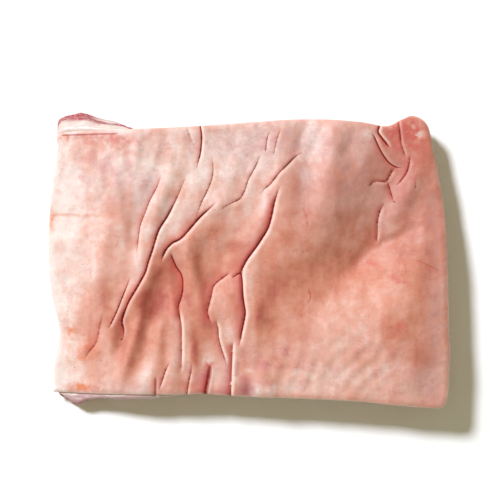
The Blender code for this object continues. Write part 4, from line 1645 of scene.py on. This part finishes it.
    def marked(self, finish: Finish, place: Socket, colour: Socket) -> Socket:
        """Draws the pores and the dark lines of the creases, and gives the cut edge its colour.

        Args:
            finish: the material in the making.
            place: the place on the rind.
            colour: the colour so far.

        Returns:
            The colour.
        """
        scale = 1 / (self.pore_spacing * MM)
        cells = add_node(finish.tree, "TexVoronoi", {"Vector": place, "Scale": scale})
        speck = finish.ranged(cells.outputs["Distance"], *self.pore_edge)
        chosen = add_node(finish.tree, "SeparateColor", {"Color": cells.outputs["Color"]}).outputs[0]
        rare = finish.maths("GREATER_THAN", chosen, self.pore_left_out)
        near = finish.ranged(finish.read("gap"), *self.line_edge, eased=True)
        for share, tinted in (
            (finish.maths("MULTIPLY", speck, rare), self.pore),
            # The dark line painted as shade down the fold of each crease
            (finish.maths("MULTIPLY", near, finish.read("crease_shade"), clamp=True), self.line),
            (finish.read("cut"), self.cut),
        ):
            colour = finish.mixed(share, colour, tinted)
        return colour


@dataclass(frozen=True)
class FatAndLean:
    """Raw belly cut with a knife: firm cream fat and dark pink lean in wandering layers.

    The lean shows the grain of its muscle and thin lines of fat. The underside has lean with
    pale membrane stretched over it, which gives a soft shine. Each pair of numbers is where a
    pattern starts and where it is full.
    """

    fat: str = "#E9DCD3"
    fat_shade: str = "#D2BCB2"
    lilac: str = "#B98A92"
    lean: str = "#C4666A"
    lean_dark: str = "#86313A"
    membrane: str = "#D9A9A0"
    # Feature size in millimetres and octaves of the broad, middle and fine noise
    noises: tuple = ((48.0, 2.0), (9.0, 4.0), (1.6, 3.0))
    noise_roughness: float = 0.6
    broad_sway: float = 0.34
    middle_sway: float = 0.16
    # Depth at which each layer of lean starts and ends, and the width of its edge
    lean_layers: tuple = ((0.30, 0.58), (0.68, 0.80), (0.90, 1.3))
    lean_edge: float = 0.02
    marbling_size: float = 9.0
    marbling_edge: tuple = (0.022, 0.004)
    marbling_strength: float = 0.55
    streak_size: float = 3.5
    streak_scale: tuple = (0.2, 1.0, 1.0)
    streak_edge: tuple = (0.34, 0.52)
    membrane_edge: tuple = (0.35, 0.6)
    membrane_share: tuple = (0.2, 0.85)
    # Roughness of the fat and of the lean
    roughness: tuple = (0.50, 0.36)
    grain_share: float = 0.4
    grain_strength: float = 0.6
    grain_height: float = 0.5
    depth_weight: float = 0.18
    depth_radius: tuple = (1.0, 0.35, 0.22)
    depth_millimetres: float = 2.5
    refraction: float = 1.42
    coat: float = 0.2
    coat_roughness: float = 0.2

    def build(self) -> bpy.types.Material:
        """Makes the material.

        Returns:
            The material, which reads Object coordinates and the flesh's attributes.
        """
        finish = Finish("pork_flesh")
        place = finish.place()
        broad, middle, fine = (finish.noise(place, size, detail, Roughness=self.noise_roughness)
                               for size, detail in self.noises)
        depth = finish.swayed(finish.read("layer"), broad, self.broad_sway)
        depth = finish.swayed(depth, middle, self.middle_sway)
        lean = finish.read("meat")
        for start, end in self.lean_layers:
            enter = finish.ranged(depth, start, start + self.lean_edge)
            leave = finish.ranged(depth, end, end - self.lean_edge)
            lean = finish.maths("MAXIMUM", lean, finish.maths("MULTIPLY", enter, leave))
        marbling = finish.noise(place, self.marbling_size, 4.0, Distortion=0.8)
        threads = finish.threads(marbling, *self.marbling_edge, self.marbling_strength)
        streaks = finish.noise(finish.stretched(place, self.streak_scale), self.streak_size, 2.0)
        blue = finish.maths("MULTIPLY", finish.ranged(streaks, *self.streak_edge), finish.read("tinged"))
        fat = finish.mixed(blue, finish.mixed(middle, self.fat, self.fat_shade), self.lilac)
        meat = finish.mixed(threads, finish.mixed(fine, self.lean, self.lean_dark), fat)
        veil = finish.ranged(broad, *self.membrane_edge, self.membrane_share)
        bottom = finish.mixed(veil, meat, self.membrane)
        relief = finish.maths("MULTIPLY_ADD", fine, self.grain_share, middle)
        return finish.surface(relief, self.grain_strength, self.grain_height, {
            "Base Color": finish.mixed(finish.read("under"), finish.mixed(lean, fat, meat), bottom),
            "Roughness": finish.ranged(lean, 0.0, 1.0, self.roughness),
            "Subsurface Weight": self.depth_weight,
            "Subsurface Radius": self.depth_radius,
            "Subsurface Scale": self.depth_millimetres * MM,
            "IOR": self.refraction,
            "Coat Weight": self.coat,
            "Coat Roughness": self.coat_roughness,
        })


@dataclass(frozen=True)
class MattPaper:
    """White background paper: matt, so it shows the shadow and no reflection."""

    white: str = "#FFFFFF"
    roughness: float = 0.9
    shine: float = 0.1

    def build(self) -> bpy.types.Material:
        """Makes the material.

        Returns:
            The material.
        """
        finish = Finish("matt_white_paper")
        inputs = {"Base Color": linear(self.white), "Roughness": self.roughness,
                  "Specular IOR Level": self.shine}
        feed(finish.tree, finish.tree.nodes["Principled BSDF"], inputs)
        return finish.material


@dataclass(frozen=True)
class Studio:
    """The floor, the light and the camera, in metres and degrees."""

    floor_half: float = 6.0
    floor_drop: float = 0.0002
    light_distance: float = 10.0
    light_size: float = 1.85
    light_watts: float = 1198.0
    light_bearing: float = 135.0
    light_height: float = 46.0
    light_colour: str = "#F1F5FF"
    fill_colour: str = "#9A9479"
    backdrop_colour: str = "#F3F3F2"
    camera_place: tuple = (0.00184, 0.0088, 1.536)
    camera_lens: float = 132.0
    sensor: float = 36.0

    def lay_floor(self) -> None:
        """Makes the floor, a square of paper just under the slab."""
        mesh = bpy.data.meshes.new("floor")
        half, low = self.floor_half, -self.floor_drop
        corners = [(-half, -half, low), (half, -half, low), (half, half, low), (-half, half, low)]
        mesh.from_pydata(corners, [], [(0, 1, 2, 3)])
        mesh.materials.append(MattPaper().build())
        floor = in_scene("floor", mesh)

    def hang_light(self) -> None:
        """Makes the key light, a round soft box at the upper left."""
        lamp = bpy.data.lights.new("key", "AREA")
        lamp.shape = "DISK"
        lamp.size = self.light_size
        lamp.energy = self.light_watts
        lamp.color = linear(self.light_colour)[:3]
        bearing, height = math.radians(self.light_bearing), math.radians(self.light_height)
        out = self.light_distance * math.cos(height)
        light = in_scene("key", lamp)
        light.location = (out * math.cos(bearing), out * math.sin(bearing),
                          self.light_distance * math.sin(height))
        light.rotation_euler = (math.pi / 2 - height, 0.0, bearing + math.pi / 2)

    def fill(self) -> None:
        """Lights the shadows with a warm sky, and shows a pale backdrop to the camera."""
        world = bpy.data.worlds.new("fill")
        world.use_nodes = True
        tree = world.node_tree
        links = {MIX_FACTOR: add_node(tree, "LightPath", {}).outputs["Is Camera Ray"],
                 MIX_A: linear(self.fill_colour), MIX_B: linear(self.backdrop_colour)}
        colour = add_node(tree, "Mix", links, data_type="RGBA").outputs[MIX_OUT]
        feed(tree, tree.nodes["Background"], {"Color": colour})
        bpy.context.scene.world = world

    def place_camera(self) -> None:
        """Looks straight down at the slab from above."""
        data = bpy.data.cameras.new("camera")
        data.lens = self.camera_lens
        data.sensor_width = self.sensor
        camera = in_scene("camera", data)
        camera.location = self.camera_place
        bpy.context.scene.camera = camera

    def build(self) -> None:
        """Sets up the whole studio."""
        self.lay_floor()
        self.hang_light()
        self.fill()
        self.place_camera()
        bpy.context.scene.view_settings.view_transform = "Standard"


def dress(piece: bpy.types.Object, material: bpy.types.Material) -> None:
    """Gives a piece its finish and says what it rides on and stands for.

    Args:
        piece: the finished piece.
        material: its finish.
    """
    piece.data.materials.append(material)
    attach(piece, BODY)
    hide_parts(NODE)
    LOG.info("%s: %d points, %d faces", piece.name, len(piece.data.vertices), len(piece.data.polygons))


def main() -> None:
    """Builds the slab and its studio."""
    logging.basicConfig(level=logging.INFO, format="%(message)s")
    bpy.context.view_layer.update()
    swells = tuple(Swell(*row) for row in SWELLS.values())
    pleats = tuple(Pleat(*row) for row in PLEATS.values())
    rind = Rind(SkinRelief(Body(), swells, pleats, RIPPLES, CREASES), Plan())
    dress(rind.build(), PorkSkin().build())
    dress(Flesh(rind).build(), FatAndLean().build())
    Studio().build()


if __name__ == "__main__":
    main()
